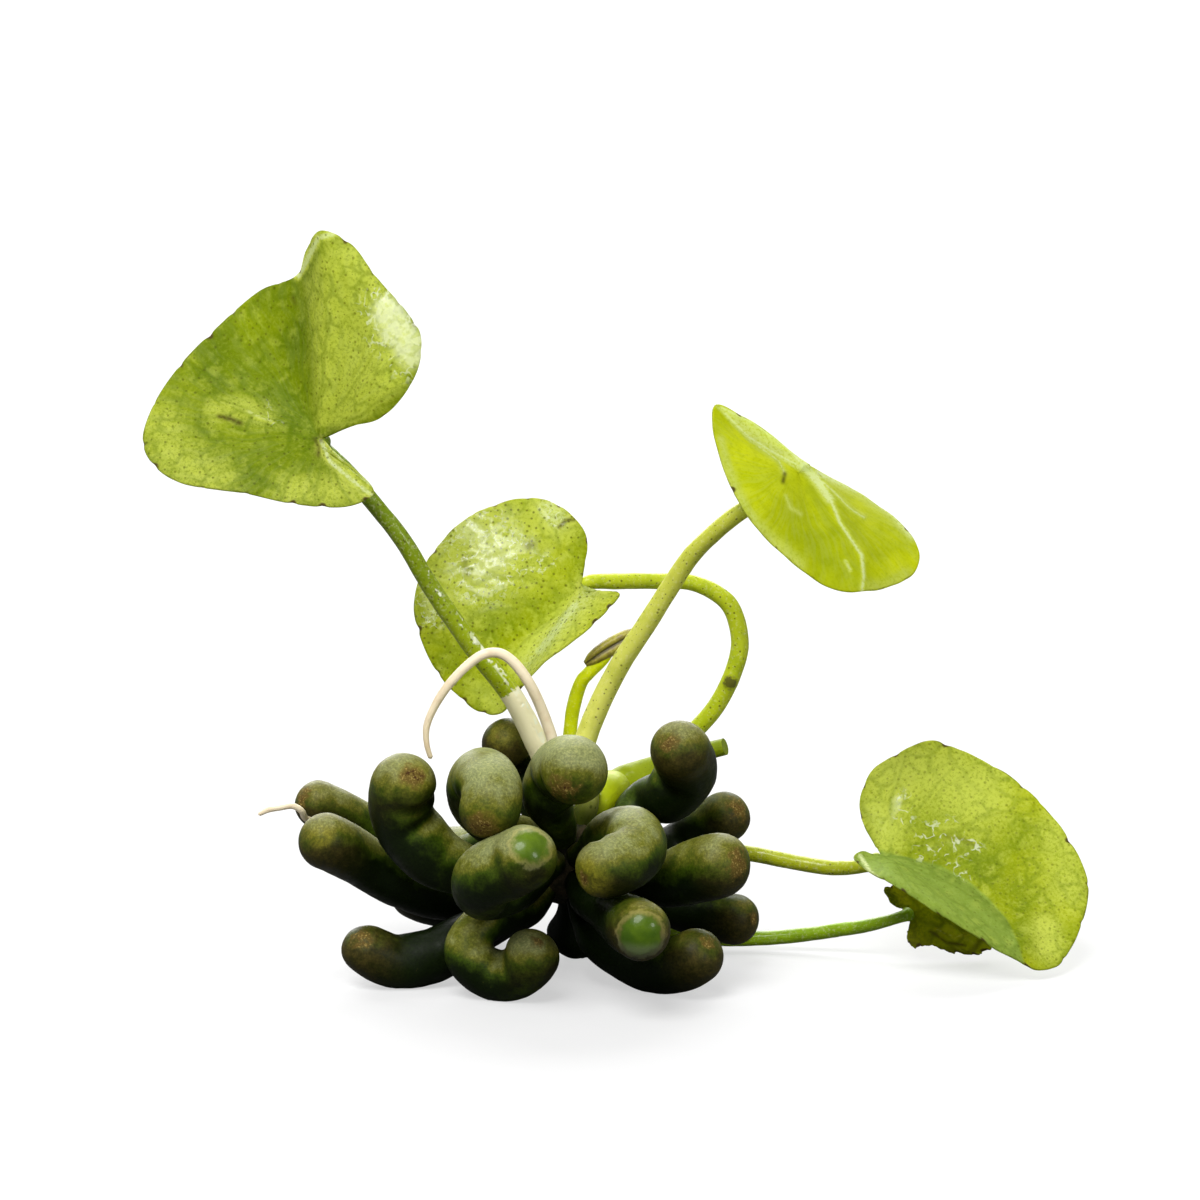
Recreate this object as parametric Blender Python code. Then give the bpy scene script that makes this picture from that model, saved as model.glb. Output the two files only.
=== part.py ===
"""Aquarium banana plant: a crown with 24 banana-shaped tubers, five leaves, a young shoot, a cut stalk, two roots.

The plant stands on its lowest tubers. X runs to the right, Y away from the front view and Z up. Points are in
millimetres around the crown's foot, and the whole plant then moves so that the origin is the middle of its foot.
"""

import bisect
import math
from typing import NamedTuple

import bmesh
import bpy
from mathutils import Matrix, Vector

MM = 0.001

# Frame and gaps
FOOT_SHIFT = (-7.0, 2.0, 0.0)
TOUCH_GAP = 0.35

# Steps of a smooth curve between two of its points
FINE_STEPS = 12

# Crown, the short rhizome that everything grows from
CROWN_CENTRE = Vector((0.0, 1.0, 14.0))
CROWN_RADIUS = 6.0

# Tubers
TUBER_SIDES = 10
TUBER_RING_GAP = 3.0
NECK_RADIUS = 1.3
NECK_REACH = 2.6
SHOULDER_RADIUS = 1.8
TIP_RING_DEGREES = (35.0, 60.0, 80.0)

# Stalks and roots
STALK_SIDES = 7
STALK_RING_GAP = 4.0
ROOT_SIDES = 6
ROOT_RING_GAP = 3.2

# Leaf blades
BLADE_THICKNESS = 0.7
BLADE_SPOKES = 30
BLADE_RINGS = 4


class Finish(NamedTuple):
    """Colour and gloss of one kind of tissue."""

    colour: tuple
    roughness: float


class Tube(NamedTuple):
    """A tuber, stalk or root: where it leaves the crown in degrees, and its centreline as (x, y, z, radius)."""

    azimuth: float
    elevation: float
    points: tuple


class Blade(NamedTuple):
    """A leaf blade: where its stalk meets it, its outline as (x, y, z, bulge), and the side that it bulges to."""

    attach: tuple
    normal: tuple
    margin: tuple


TUBER_SKIN = Finish((0.07, 0.09, 0.03), 0.55)
FRESH_LEAF = Finish((0.42, 0.55, 0.08), 0.35)
OLD_LEAF = Finish((0.13, 0.14, 0.03), 0.6)
GREEN_STALK = Finish((0.32, 0.48, 0.06), 0.35)
PALE_STALK = Finish((0.55, 0.62, 0.22), 0.4)
BUD_TISSUE = Finish((0.25, 0.23, 0.07), 0.5)
CREAM_ROOT = Finish((0.78, 0.68, 0.5), 0.5)
CROWN_TISSUE = Finish((0.09, 0.08, 0.04), 0.7)

# Azimuth 0 faces the front and 90 the right, elevation 90 points up
TUBERS = {
    # Left side, from the top tuber that carries the small root down to the two resting ones
    "tuber_left_upper": Tube(246, 8, (
        (-14.5, 11.5, 11, 2.9), (-20, 11.5, 12.5, 3.2), (-25, 10, 15.5, 3.2), (-29, 7.5, 18.5, 3.0),
        (-32.5, 6, 20.5, 2.9))),
    "tuber_left_middle": Tube(277, -14, (
        (-13.5, 0, 9.5, 3.0), (-19.5, -2, 11.5, 3.2), (-24.5, -5, 15, 3.2), (-27.5, -8, 17.5, 3.4),
        (-30.5, -11, 19.5, 3.3))),
    "tuber_left_hook": Tube(303, -8, (
        (-8.3, -7.7, 13.8, 2.6), (-12.5, -9.5, 15, 3.2), (-16, -10, 17, 3.8), (-19, -10, 21, 4.0),
        (-19, -11, 25, 4.0), (-18, -15.5, 27.5, 3.7))),
    "tuber_left_lower": Tube(252, -28, (
        (-11, 6.5, 6.5, 2.8), (-16.5, 6.5, 7.5, 3.2), (-21, 5.5, 9.5, 2.9))),
    "tuber_left_foot": Tube(281, -48, (
        (-12, -5, 5.5, 2.9), (-16, -6.5, 3.5, 3.3), (-20.5, -7.5, 3.2, 3.35), (-24, -8.5, 5, 3.0),
        (-25.5, -9.5, 6.5, 2.9))),
    # Front and top, the curled ones
    "tuber_top_left": Tube(232, 50, (
        (-4, 8.5, 22.5, 3.0), (-6, 8.5, 25.5, 3.25), (-7, 6, 27, 3.2), (-7.5, 3.5, 28.5, 3.0))),
    "tuber_front_curl": Tube(317, 30, (
        (-7.5, -6, 19, 2.6), (-10, -7, 21.5, 3.1), (-10.5, -10, 24.5, 3.6), (-9.5, -15.5, 27, 3.7),
        (-8.5, -19.5, 26, 3.7), (-9, -21.5, 24, 3.4))),
    "tuber_top_front": Tube(355, 40, (
        (-2, -9, 23.5, 3.1), (-0.5, -12, 27, 3.9), (1, -17, 28.5, 4.1), (1, -21.5, 28, 3.6))),
    "tuber_front_finger": Tube(343, 4, (
        (-6, -14, 13.5, 2.7), (-9, -17, 14, 3.6), (-9, -21, 16.5, 4.0), (-5.5, -23.5, 19, 3.9),
        (-2.5, -27, 21.5, 3.5))),
    "tuber_front_bend": Tube(20, 14, (
        (5.5, -11, 19, 3.2), (8, -15, 20, 3.7), (8, -19.5, 19, 3.7), (5, -22, 18, 3.6),
        (1.5, -23, 18, 3.3))),
    "tuber_front_point": Tube(18, -22, (
        (5, -14, 11, 2.6), (7.5, -20, 10.8, 3.4), (9, -26, 11.3, 3.5), (9.5, -29, 11.3, 3.3))),
    "tuber_front_foot": Tube(322, -36, (
        (-10, -11, 8, 2.8), (-11, -12.5, 5.5, 3.4), (-8, -13, 3.1, 3.5), (-5, -14.5, 4.3, 3.5),
        (-3, -17.5, 8, 3.3))),
    # Right side
    "tuber_right_hook": Tube(62, 30, (
        (9, -0.5, 20.5, 2.8), (12.5, -2, 22.5, 3.5), (14.5, -4, 25.5, 3.7), (14, -7.5, 28.5, 3.65),
        (13, -12, 30.5, 3.4))),
    "tuber_right_upper": Tube(90, 6, (
        (13, 4.5, 14.5, 2.7), (17.5, 4.5, 17, 3.15), (21.5, 2.5, 20, 3.1))),
    "tuber_right_middle": Tube(62, -4, (
        (11.5, -7, 13, 3.2), (16.5, -10, 15, 3.9), (21, -13.5, 17, 3.7))),
    "tuber_right_lower": Tube(92, -20, (
        (13.5, 3, 7.5, 2.8), (19, 1, 6.5, 3.1), (23, -1.5, 6.5, 2.9))),
    "tuber_right_foot": Tube(35, -56, (
        (4.5, -6, 5.5, 2.9), (10, -9, 3.2, 3.35), (14, -12, 4.0, 3.4), (17.5, -15, 7, 3.2))),
    # Back, out of the front view
    "tuber_back_left": Tube(214, 8, (
        (-10.5, 17, 11.5, 2.8), (-16, 21, 10, 3.1), (-19.5, 22, 9, 2.9))),
    "tuber_back_top": Tube(188, 28, (
        (-1, 15, 15, 2.9), (-1.5, 20, 15, 3.2), (-2, 25, 13, 2.9))),
    "tuber_back_right": Tube(158, 8, (
        (4.5, 15, 11.5, 2.8), (8.5, 20, 11.5, 3.1), (10.5, 24, 9.5, 2.9))),
    "tuber_back_side": Tube(124, -18, (
        (11, 12.5, 8.5, 2.7), (15.5, 16.5, 8, 3.0), (18.5, 20, 7.5, 2.8))),
    "tuber_back_foot_left": Tube(212, -34, (
        (-6.5, 12.5, 6, 2.6), (-10, 16, 3.1, 2.8), (-14, 19, 2.5, 2.9))),
    "tuber_back_foot_right": Tube(152, -30, (
        (5, 14, 5.6, 2.7), (8.5, 18.5, 2.9, 3.0), (10.5, 22, 2.6, 2.9))),
    "tuber_under": Tube(165, -66, (
        (0, 4, 5, 2.7), (1.5, 7.5, 2.7, 3.0), (2.5, 10.5, 2.7, 2.9))),
}

RESTING_TUBERS = (
    "tuber_left_foot", "tuber_front_foot", "tuber_right_foot", "tuber_back_foot_left", "tuber_back_foot_right",
    "tuber_under",
)

GREEN_STALKS = {
    "petiole_upper_left": Tube(280, 78, (
        (-2.5, 2.5, 25.5, 1.45), (-4, 2, 29, 1.42), (-6.5, 1, 34, 1.3), (-11, 0, 40, 1.2),
        (-16, -1, 47.5, 1.1), (-19.5, -1.5, 53.5, 1.05), (-23.5, -1, 58.5, 1.0), (-25.5, -1, 61, 1.0),
        (-27.5, -0.5, 63, 0.95), (-29, 0.2, 64.5, 0.9))),
    "petiole_arched": Tube(140, 28, (
        (8.5, 19, 17, 1.2), (12.5, 19.5, 22.5, 1.15), (16.5, 19, 26.5, 1.1), (18.5, 18.5, 29, 1.1),
        (20.5, 18, 33, 1.1), (21.5, 18, 37, 1.1), (20.5, 18, 41.5, 1.1), (18.5, 18, 43.5, 1.05),
        (15.5, 18, 44.8, 1.0), (10.5, 17, 45.2, 1.0), (6, 15, 45.5, 1.0), (2.9, 13.9, 45.6, 0.9))),
    "petiole_right": Tube(118, 16, (
        (11.5, 9, 13.2, 1.15), (17, 10.5, 12.8, 1.0), (23.5, 11, 12, 0.95), (27, 10, 11.5, 0.95),
        (33, 8, 11, 0.92), (37.4, 6, 11.9, 0.85))),
    "petiole_old_leaf": Tube(105, -45, (
        (9, 8, 4, 1.1), (15.5, 10, 2, 1.0), (19.5, 10.5, 1.5, 0.95), (23, 10.5, 1.5, 0.9),
        (27.5, 10, 1.9, 0.88), (33, 8.5, 3, 0.85), (37, 7, 4, 0.8), (41.5, 5.5, 5.6, 0.75))),
    "shoot": Tube(178, 62, (
        (0.5, 11.5, 22.5, 0.88), (0.5, 10.5, 27, 0.85), (1, 9.7, 31, 0.85), (2, 9, 34.2, 0.82),
        (2.8, 8.7, 35.2, 0.8))),
    "cut_stalk": Tube(112, 54, (
        (5, 7.5, 22, 1.5), (8, 10.7, 22.2, 1.45), (12, 11, 23, 1.3), (16.5, 10, 25, 1.15),
        (19.5, 9, 26, 1.05))),
}

PALE_STALKS = {
    "petiole_upright": Tube(60, 66, (
        (1.5, 4, 24, 1.4), (2.5, 4.5, 28, 1.35), (4.5, 4, 33, 1.3), (7, 3, 38, 1.25), (9.5, 2, 42, 1.2),
        (12.5, 1, 47, 1.15), (15, 0, 51, 1.1), (17.5, -1, 53.8, 1.05), (20.5, -1.8, 56.5, 1.05),
        (24, -1.2, 58.6, 1.0), (27, 1.2, 60, 0.9))),
}

ROOTS = {
    "root_arch": Tube(345, 62, (
        (-1, -3.5, 27, 0.7), (-2.5, -4, 32.5, 0.68), (-4.5, -5, 37, 0.66), (-6.5, -5, 39.5, 0.62),
        (-8, -5, 40.3, 0.6), (-10, -5.3, 40, 0.58), (-13.5, -6, 37, 0.55), (-15.5, -6, 34, 0.5),
        (-16.5, -6, 31.5, 0.42), (-16.5, -6, 29.5, 0.35), (-16, -5.8, 27.5, 0.3))),
}

# The small root grows out of a tuber's side, so it has no place on the crown
SMALL_ROOT = (
    (-31.6, 2.2, 18.6, 0.4), (-32, 1.2, 19.7, 0.4), (-33, 1, 20.3, 0.38), (-34.5, 1, 20.1, 0.36),
    (-36, 1, 19.8, 0.34), (-37.2, 1, 19.2, 0.25),
)

ROLLED_LEAF = (
    (2.4, 8.5, 36.4, 0.35), (3.25, 8.5, 37, 0.85), (4.75, 8.75, 38, 1.1), (6.5, 9, 39, 1.1),
    (8, 9.25, 39.75, 0.9), (9.5, 9.5, 40.25, 0.35),
)

FRESH_BLADES = {
    # Upright heart shape, its upper corner folded back and its lower lobe in front of the stalk
    "blade_upper_left": Blade((-29, -1, 65.6), (0.15, -0.95, 0.3), (
        (-28, -1.5, 67, 0), (-25.5, -3, 67.5, 0.2), (-22, -5, 68.5, 0.5), (-19, -6.5, 71.5, 0.6),
        (-17, -7.5, 75.5, 0.6), (-17, -7.3, 79, 0.6), (-18.5, -6.5, 81.2, 0.4), (-22.5, -5, 85.7, 0.2),
        (-25, -4.5, 89, 0), (-28.5, -4, 90.6, 0), (-30.5, 0, 88, 0), (-32, 3, 84.5, -0.6),
        (-36.5, 4.5, 82.5, -0.8), (-42, 4, 77.8, -0.7), (-46, 2, 73.8, -0.5), (-49, -1, 69.3, -0.3),
        (-50, -3.5, 65.5, 0), (-48.7, -5, 63, 0), (-45.5, -6, 61, 0), (-37.5, -7, 59.8, 0.3),
        (-31.5, -7, 58.5, 0.5), (-25.5, -6.2, 58.2, 0.4), (-22.6, -5.2, 59.6, 0.3), (-25, -4.2, 62.3, 0.2),
        (-28.8, -2.2, 64.6, 0))),
    # Heart shape leaning back, its near half folded forward below the stalk
    "blade_centre": Blade((1.75, 13, 45.5), (-0.1, -0.8, 0.6), (
        (2, 13.6, 46.7, 0), (2.6, 15, 49.3, 0.3), (2.5, 16, 51, 0.4), (1.2, 17.3, 52.8, 0.3),
        (-1.5, 18.2, 54.7, 0.5), (-5.5, 18.5, 55.2, 0.5), (-10, 18, 54, 0.5), (-14, 17, 51.5, 0.5),
        (-17.2, 15.5, 47.5, 0.4), (-18.6, 13.6, 43, 0.4), (-18, 12, 39.8, 0.4), (-16.2, 10, 36, 0.3),
        (-13.5, 8.6, 32.8, 0), (-10.5, 8.3, 30.5, 0), (-8, 7.5, 30.5, 0), (-5.5, 5.6, 33.8, -0.3),
        (-3, 5, 36.9, -0.5), (1.5, 5.5, 40.2, -0.6), (5, 7.5, 43.2, -0.4), (6.6, 9.3, 45, -0.2),
        (4.5, 10.8, 44.9, 0), (2.5, 11.9, 44.9, 0))),
    # Tent shape that hangs from its stalk, its ridge towards the front
    "blade_upper_right": Blade((27.75, 0, 61), (0.0, -0.75, 0.65), (
        (28.3, 1.2, 62.3, 0), (26, 1.5, 64.5, 0), (23.5, 1.5, 66.5, 0), (21, 1, 68, 0), (18, 0, 69.5, 0),
        (17.6, -2, 67.4, 0.3), (18, -4, 65.2, 0.5), (19.5, -7, 61, 0.7), (21.5, -9, 57.6, 0.8),
        (24.5, -10, 54.2, 0.8), (27.7, -11, 51.5, 0.6), (31, -11, 49.4, 0.3), (32.8, -10.8, 48.7, 0.2),
        (35, -9.7, 48.5, 0.3), (38.5, -6, 48.5, 0.4), (41.5, -2, 49.2, 0.5), (42.5, 1.5, 51.3, 0.5),
        (40.5, 4.3, 54.3, 0.4), (36.5, 5, 57.3, 0.3), (32, 3.5, 60, 0.1), (29.5, 1.5, 61.2, 0))),
    # Far half stands up, near half lies forward, tip just above the ground
    "blade_right": Blade((38.75, 4.5, 13.25), (-0.1, -0.6, 0.8), (
        (37.8, 5.8, 14.6, 0), (36.3, 8.2, 17, 0.2), (36.2, 9.8, 19.5, 0.4), (38, 11.7, 22.7, 0.5),
        (41.5, 12.7, 24.7, 0.5), (44.5, 13, 25.8, 0.4), (48.5, 13, 24.8, 0.4), (54, 12, 22, 0.4),
        (58.5, 10, 18.5, 0.3), (62, 7.3, 14, 0.3), (63.7, 5, 10.2, 0.3), (63.3, 2.5, 7, 0.3),
        (61.5, -1, 3.7, 0.1), (59.3, -3.7, 1.6, 0), (57, -5, 1.3, 0), (54.5, -6, 2.8, 0),
        (51, -7.2, 5, -0.1), (46, -7.5, 8.2, -0.4), (40.5, -6, 11.4, -0.3), (37, -3, 12.9, 0),
        (35, 0.5, 14, 0), (36, 2.7, 14.3, 0), (37.7, 4, 13.6, 0))),
}

# The small rotting leaf, ragged along its lower edge, under the right blade
OLD_BLADES = {
    "blade_old": Blade((42.5, 7, 5.75), (0.1, -0.7, 0.7), (
        (41, 7.2, 6.2, 0), (39.8, 7.5, 6.8, 0), (39.2, 8.5, 8.5, 0), (42, 8.6, 8.6, 0), (47, 8.5, 7.7, 0),
        (50.8, 8.4, 6, 0), (52.8, 7.3, 3, 0), (52, 5.7, 1.3, 0), (50, 4.7, 0.9, 0), (47.5, 4.5, 1.2, 0),
        (45, 4.8, 1.9, 0), (42.5, 5, 1.8, 0), (41.8, 5.6, 2.8, 0), (42.6, 6.4, 4.6, 0))),
}


def clear_scene():
    """Remove every object that the file opened with."""
    for thing in list(bpy.data.objects):
        bpy.data.objects.remove(thing, do_unlink=True)


def tissue_material(name, finish):
    """One piece's own Principled material."""
    material = bpy.data.materials.new(name)
    material.use_nodes = True
    shader = material.node_tree.nodes["Principled BSDF"]
    shader.inputs["Base Color"].default_value = (*finish.colour, 1.0)
    shader.inputs["Roughness"].default_value = finish.roughness
    shader.inputs["Metallic"].default_value = 0.0
    return material


def add_piece(name, shape, finish, origin, parent):
    """Put a finished bmesh, in millimetres around its own origin, into the scene as one named piece."""
    bmesh.ops.recalc_face_normals(shape, faces=shape.faces)
    bmesh.ops.scale(shape, vec=(MM, MM, MM), verts=shape.verts)
    mesh = bpy.data.meshes.new(name)
    shape.to_mesh(mesh)
    shape.free()
    mesh.materials.append(tissue_material(name, finish))
    mesh.shade_smooth()
    mesh.set_sharp_from_angle(angle=math.radians(60.0))
    piece = bpy.data.objects.new(name, mesh)
    bpy.context.scene.collection.objects.link(piece)
    piece.parent = parent
    piece.location = Vector(origin) * MM
    return piece


def smooth_curve(points, per_span):
    """Centripetal Catmull-Rom curve through points of any length, with per_span steps between two of them."""
    knots = [Vector(point) for point in points]
    knots = [2.0 * knots[0] - knots[1], *knots, 2.0 * knots[-1] - knots[-2]]
    curve = []
    for before, start, end, after in zip(knots, knots[1:], knots[2:], knots[3:]):
        spans = [max((b - a).length, 1e-6) ** 0.5 for a, b in ((before, start), (start, end), (end, after))]
        t1 = spans[0]
        t2 = t1 + spans[1]
        t3 = t2 + spans[2]
        for step in range(per_span):
            t = t1 + (t2 - t1) * step / per_span
            a1 = before.lerp(start, t / t1)
            a2 = start.lerp(end, (t - t1) / (t2 - t1))
            a3 = end.lerp(after, (t - t2) / (t3 - t2))
            b1 = a1.lerp(a2, t / t2)
            b2 = a2.lerp(a3, (t - t1) / (t3 - t1))
            curve.append(b1.lerp(b2, (t - t1) / (t2 - t1)))
    curve.append(knots[-2])
    return curve


def walked_lengths(curve):
    """How far along a fine curve each of its points is."""
    lengths = [0.0]
    for a, b in zip(curve, curve[1:]):
        lengths.append(lengths[-1] + (b.to_3d() - a.to_3d()).length)
    return lengths


def point_at(curve, lengths, target):
    """The point of a fine curve at a length along it."""
    index = min(max(bisect.bisect_left(lengths, target) - 1, 0), len(curve) - 2)
    share = (target - lengths[index]) / max(lengths[index + 1] - lengths[index], 1e-9)
    return curve[index].lerp(curve[index + 1], min(share, 1.0))


def evenly(curve, count):
    """The points at count equal steps of length along a fine curve, with both its ends."""
    lengths = walked_lengths(curve)
    return [point_at(curve, lengths, lengths[-1] * step / count) for step in range(count + 1)]


def crown_direction(tube):
    """The way a tube leaves the crown."""
    azimuth = math.radians(tube.azimuth)
    elevation = math.radians(tube.elevation)
    flat = math.cos(elevation)
    return Vector((math.sin(azimuth) * flat, -math.cos(azimuth) * flat, math.sin(elevation)))


def from_crown(tube, first_radius, second_radius):
    """A tube's whole centreline, which starts just clear of the crown and leaves it straight outwards."""
    direction = crown_direction(tube)
    start = CROWN_CENTRE + direction * (CROWN_RADIUS + TOUCH_GAP)
    shoulder = CROWN_CENTRE + direction * (CROWN_RADIUS + NECK_REACH)
    return ((*start, first_radius), (*shoulder, second_radius), *tube.points)


def rings_along(fine, ring_gap, round_tip):
    """A tube's rings as (x, y, z, radius), evenly apart, with those of a rounded end after them if it has one."""
    lengths = walked_lengths(fine)
    tip_radius = fine[-1][3] if round_tip else 0.0
    body = lengths[-1] - tip_radius
    count = max(3, round(body / ring_gap))
    rings = [point_at(fine, lengths, body * step / count) for step in range(count + 1)]
    for degrees in TIP_RING_DEGREES if round_tip else ():
        angle = math.radians(degrees)
        ring = point_at(fine, lengths, body + tip_radius * math.sin(angle))
        ring[3] = tip_radius * math.cos(angle)
        rings.append(ring)
    return rings


def tube_shape(points, sides, ring_gap, round_tip, edge_down=False):
    """Sweep a polygon along a centreline, with a flat start and a rounded or a flat end.

    Each ring's frame is the last one's, turned the shortest way. With edge_down the polygon is turned so that
    one of its edges faces the ground where the tube is lowest.
    """
    fine = smooth_curve(points, FINE_STEPS)
    rings = rings_along(fine, ring_gap, round_tip)
    places = [ring.to_3d() for ring in rings]
    radii = [ring[3] for ring in rings]
    frames = turning_frames(places, (fine[1] - fine[0]).to_3d())
    turn = 0.0
    if edge_down:
        lowest = min(range(len(places)), key=lambda index: places[index].z - radii[index])
        side, up = frames[lowest]
        turn = math.atan2(-up.z, -side.z) - math.pi / sides
    shape = bmesh.new()
    loops = []
    for place, radius, (side, up) in zip(places, radii, frames):
        loop = []
        for corner in range(sides):
            angle = turn + 2.0 * math.pi * corner / sides
            loop.append(shape.verts.new(place + radius * (side * math.cos(angle) + up * math.sin(angle))))
        loops.append(loop)
    for near, far in zip(loops, loops[1:]):
        for corner in range(sides):
            after = (corner + 1) % sides
            shape.faces.new((near[corner], near[after], far[after], far[corner]))
    shape.faces.new(reversed(loops[0]))
    shape.faces.new(loops[-1])
    return shape


def turning_frames(places, first_direction):
    """Two sideways directions for each place on a curve, carried along it without twist."""
    tangents = [first_direction.normalized()]
    for before, after in zip(places, places[2:] + places[-1:]):
        tangents.append((after - before).normalized())
    helper = Vector((0.0, 0.0, 1.0)) if abs(tangents[0].z) < 0.9 else Vector((1.0, 0.0, 0.0))
    side = tangents[0].cross(helper).normalized()
    frames = []
    for index, tangent in enumerate(tangents):
        if index:
            side = tangents[index - 1].rotation_difference(tangent) @ side
        side = (side - tangent * side.dot(tangent)).normalized()
        frames.append((side, tangent.cross(side)))
    return frames


def press_on_ground(shape):
    """Cut off the little of a resting tuber that is under the ground and close it with a flat face."""
    whole = [*shape.verts, *shape.edges, *shape.faces]
    cut = bmesh.ops.bisect_plane(shape, geom=whole, plane_co=(0, 0, 0), plane_no=(0, 0, 1), clear_inner=True)
    rim = [item for item in cut["geom_cut"] if isinstance(item, bmesh.types.BMEdge)]
    for edge in rim:
        for vert in edge.verts:
            vert.co.z = 0.0
    bmesh.ops.contextual_create(shape, geom=rim)


def blade_shape(blade):
    """A leaf blade's middle surface: spokes from the stalk's end to the outline, open at the notch between."""
    outline = evenly(smooth_curve(blade.margin, FINE_STEPS), BLADE_SPOKES)
    attach = Vector(blade.attach)
    normal = Vector(blade.normal).normalized()
    shape = bmesh.new()
    centre = shape.verts.new(attach)
    rings = []
    for ring in range(1, BLADE_RINGS + 1):
        share = ring / BLADE_RINGS
        lift = 4.0 * share * (1.0 - share)
        rings.append([
            shape.verts.new(attach.lerp(edge.to_3d(), share) + normal * (edge[3] * lift)) for edge in outline
        ])
    for spoke in range(BLADE_SPOKES):
        shape.faces.new((centre, rings[0][spoke], rings[0][spoke + 1]))
        for inner, outer in zip(rings, rings[1:]):
            shape.faces.new((inner[spoke], outer[spoke], outer[spoke + 1], inner[spoke + 1]))
    return shape


def add_crown(parent):
    """The crown, a short round rhizome."""
    shape = bmesh.new()
    bmesh.ops.create_icosphere(shape, subdivisions=3, radius=CROWN_RADIUS)
    return add_piece("crown", shape, CROWN_TISSUE, CROWN_CENTRE, parent)


def add_tuber(name, tube, parent):
    """A banana-shaped tuber: a thin neck at the crown, a thick body and a round tip."""
    resting = name in RESTING_TUBERS
    points = from_crown(tube, NECK_RADIUS, SHOULDER_RADIUS)
    shape = tube_shape(points, TUBER_SIDES, TUBER_RING_GAP, round_tip=True, edge_down=resting)
    if resting:
        press_on_ground(shape)
    return add_tube_piece(name, shape, TUBER_SKIN, points[0][:3], parent)


def add_stalk(name, tube, finish, sides, ring_gap, parent):
    """A leaf stalk, shoot or root that leaves the crown."""
    points = from_crown(tube, tube.points[0][3], tube.points[0][3])
    shape = tube_shape(points, sides, ring_gap, round_tip=False)
    return add_tube_piece(name, shape, finish, points[0][:3], parent)


def add_loose_tube(name, points, finish, ring_gap, parent):
    """A small tube that starts away from the crown."""
    shape = tube_shape(points, ROOT_SIDES, ring_gap, round_tip=False)
    return add_tube_piece(name, shape, finish, points[0][:3], parent)


def add_tube_piece(name, shape, finish, start, parent):
    """Move a tube's own origin to where it starts, and add it."""
    shape.transform(Matrix.Translation(-Vector(start)))
    return add_piece(name, shape, finish, start, parent)


def add_blade(name, blade, finish, parent):
    """A leaf blade, thickened evenly to both sides of its middle surface."""
    shape = blade_shape(blade)
    shape.transform(Matrix.Translation(-Vector(blade.attach)))
    piece = add_piece(name, shape, finish, blade.attach, parent)
    thicken = piece.modifiers.new("thickness", "SOLIDIFY")
    thicken.thickness = BLADE_THICKNESS * MM
    thicken.offset = 0.0
    return piece


def build_plant():
    """Build every piece of the plant under one empty that stands its foot on the origin."""
    clear_scene()
    plant = bpy.data.objects.new("plant", None)
    bpy.context.scene.collection.objects.link(plant)
    plant.location = Vector(FOOT_SHIFT) * MM
    add_crown(plant)
    for name, tube in TUBERS.items():
        add_tuber(name, tube, plant)
    for name, tube in GREEN_STALKS.items():
        add_stalk(name, tube, GREEN_STALK, STALK_SIDES, STALK_RING_GAP, plant)
    for name, tube in PALE_STALKS.items():
        add_stalk(name, tube, PALE_STALK, STALK_SIDES, STALK_RING_GAP, plant)
    for name, tube in ROOTS.items():
        add_stalk(name, tube, CREAM_ROOT, ROOT_SIDES, ROOT_RING_GAP, plant)
    add_loose_tube("root_left", SMALL_ROOT, CREAM_ROOT, 1.2, plant)
    add_loose_tube("rolled_leaf", ROLLED_LEAF, BUD_TISSUE, 1.2, plant)
    for name, blade in FRESH_BLADES.items():
        add_blade(name, blade, FRESH_LEAF, plant)
    for name, blade in OLD_BLADES.items():
        add_blade(name, blade, OLD_LEAF, plant)
    bpy.context.view_layer.update()


if __name__ == "__main__":
    build_plant()
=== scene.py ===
"""Looks of an aquarium banana plant: tuber skins, leaf blades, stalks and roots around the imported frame.

Shapes are written in millimetres around the crown's foot and move to the frame's own place, which the
crown's box gives. Tubers, stalks and roots are grown along their centrelines by one Geometry Nodes tree. A
blade is a fan of spokes from its stalk to its outline, with thickness, folds and a wavy margin.
"""

from __future__ import annotations

import logging
import math
from dataclasses import dataclass, field
from enum import Enum
from typing import Any, Sequence

import bmesh
import bpy
import numpy as np
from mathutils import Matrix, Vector, noise

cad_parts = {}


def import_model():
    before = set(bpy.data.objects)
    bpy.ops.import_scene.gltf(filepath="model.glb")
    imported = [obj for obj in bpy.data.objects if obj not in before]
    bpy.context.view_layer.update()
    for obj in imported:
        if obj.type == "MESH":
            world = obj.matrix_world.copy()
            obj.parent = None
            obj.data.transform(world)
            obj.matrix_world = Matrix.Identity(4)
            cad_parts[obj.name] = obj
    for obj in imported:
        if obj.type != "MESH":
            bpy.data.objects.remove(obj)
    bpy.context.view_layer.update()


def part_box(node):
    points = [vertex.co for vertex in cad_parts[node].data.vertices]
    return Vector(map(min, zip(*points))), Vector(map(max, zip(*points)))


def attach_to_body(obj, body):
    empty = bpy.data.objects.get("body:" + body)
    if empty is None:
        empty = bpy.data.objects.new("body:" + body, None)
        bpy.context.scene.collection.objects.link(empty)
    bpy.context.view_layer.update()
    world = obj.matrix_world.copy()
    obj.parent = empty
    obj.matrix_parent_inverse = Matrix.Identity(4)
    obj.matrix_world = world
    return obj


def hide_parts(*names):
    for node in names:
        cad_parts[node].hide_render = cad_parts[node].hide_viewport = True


LOG = logging.getLogger("banana_plant")

MM = 0.001
BODY = "root"

# The crown's place in the shapes' own millimetres, and its radius
CROWN_CENTRE = np.array((0.0, 1.0, 14.0))
CROWN_RADIUS = 6.0

# How far a tube starts inside the crown's surface, and where its neck turns into its body outside it
NECK_DEPTH = 1.6
NECK_REACH = 2.6

# Steps of a smooth curve between two of its points
FINE_STEPS = 16

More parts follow.
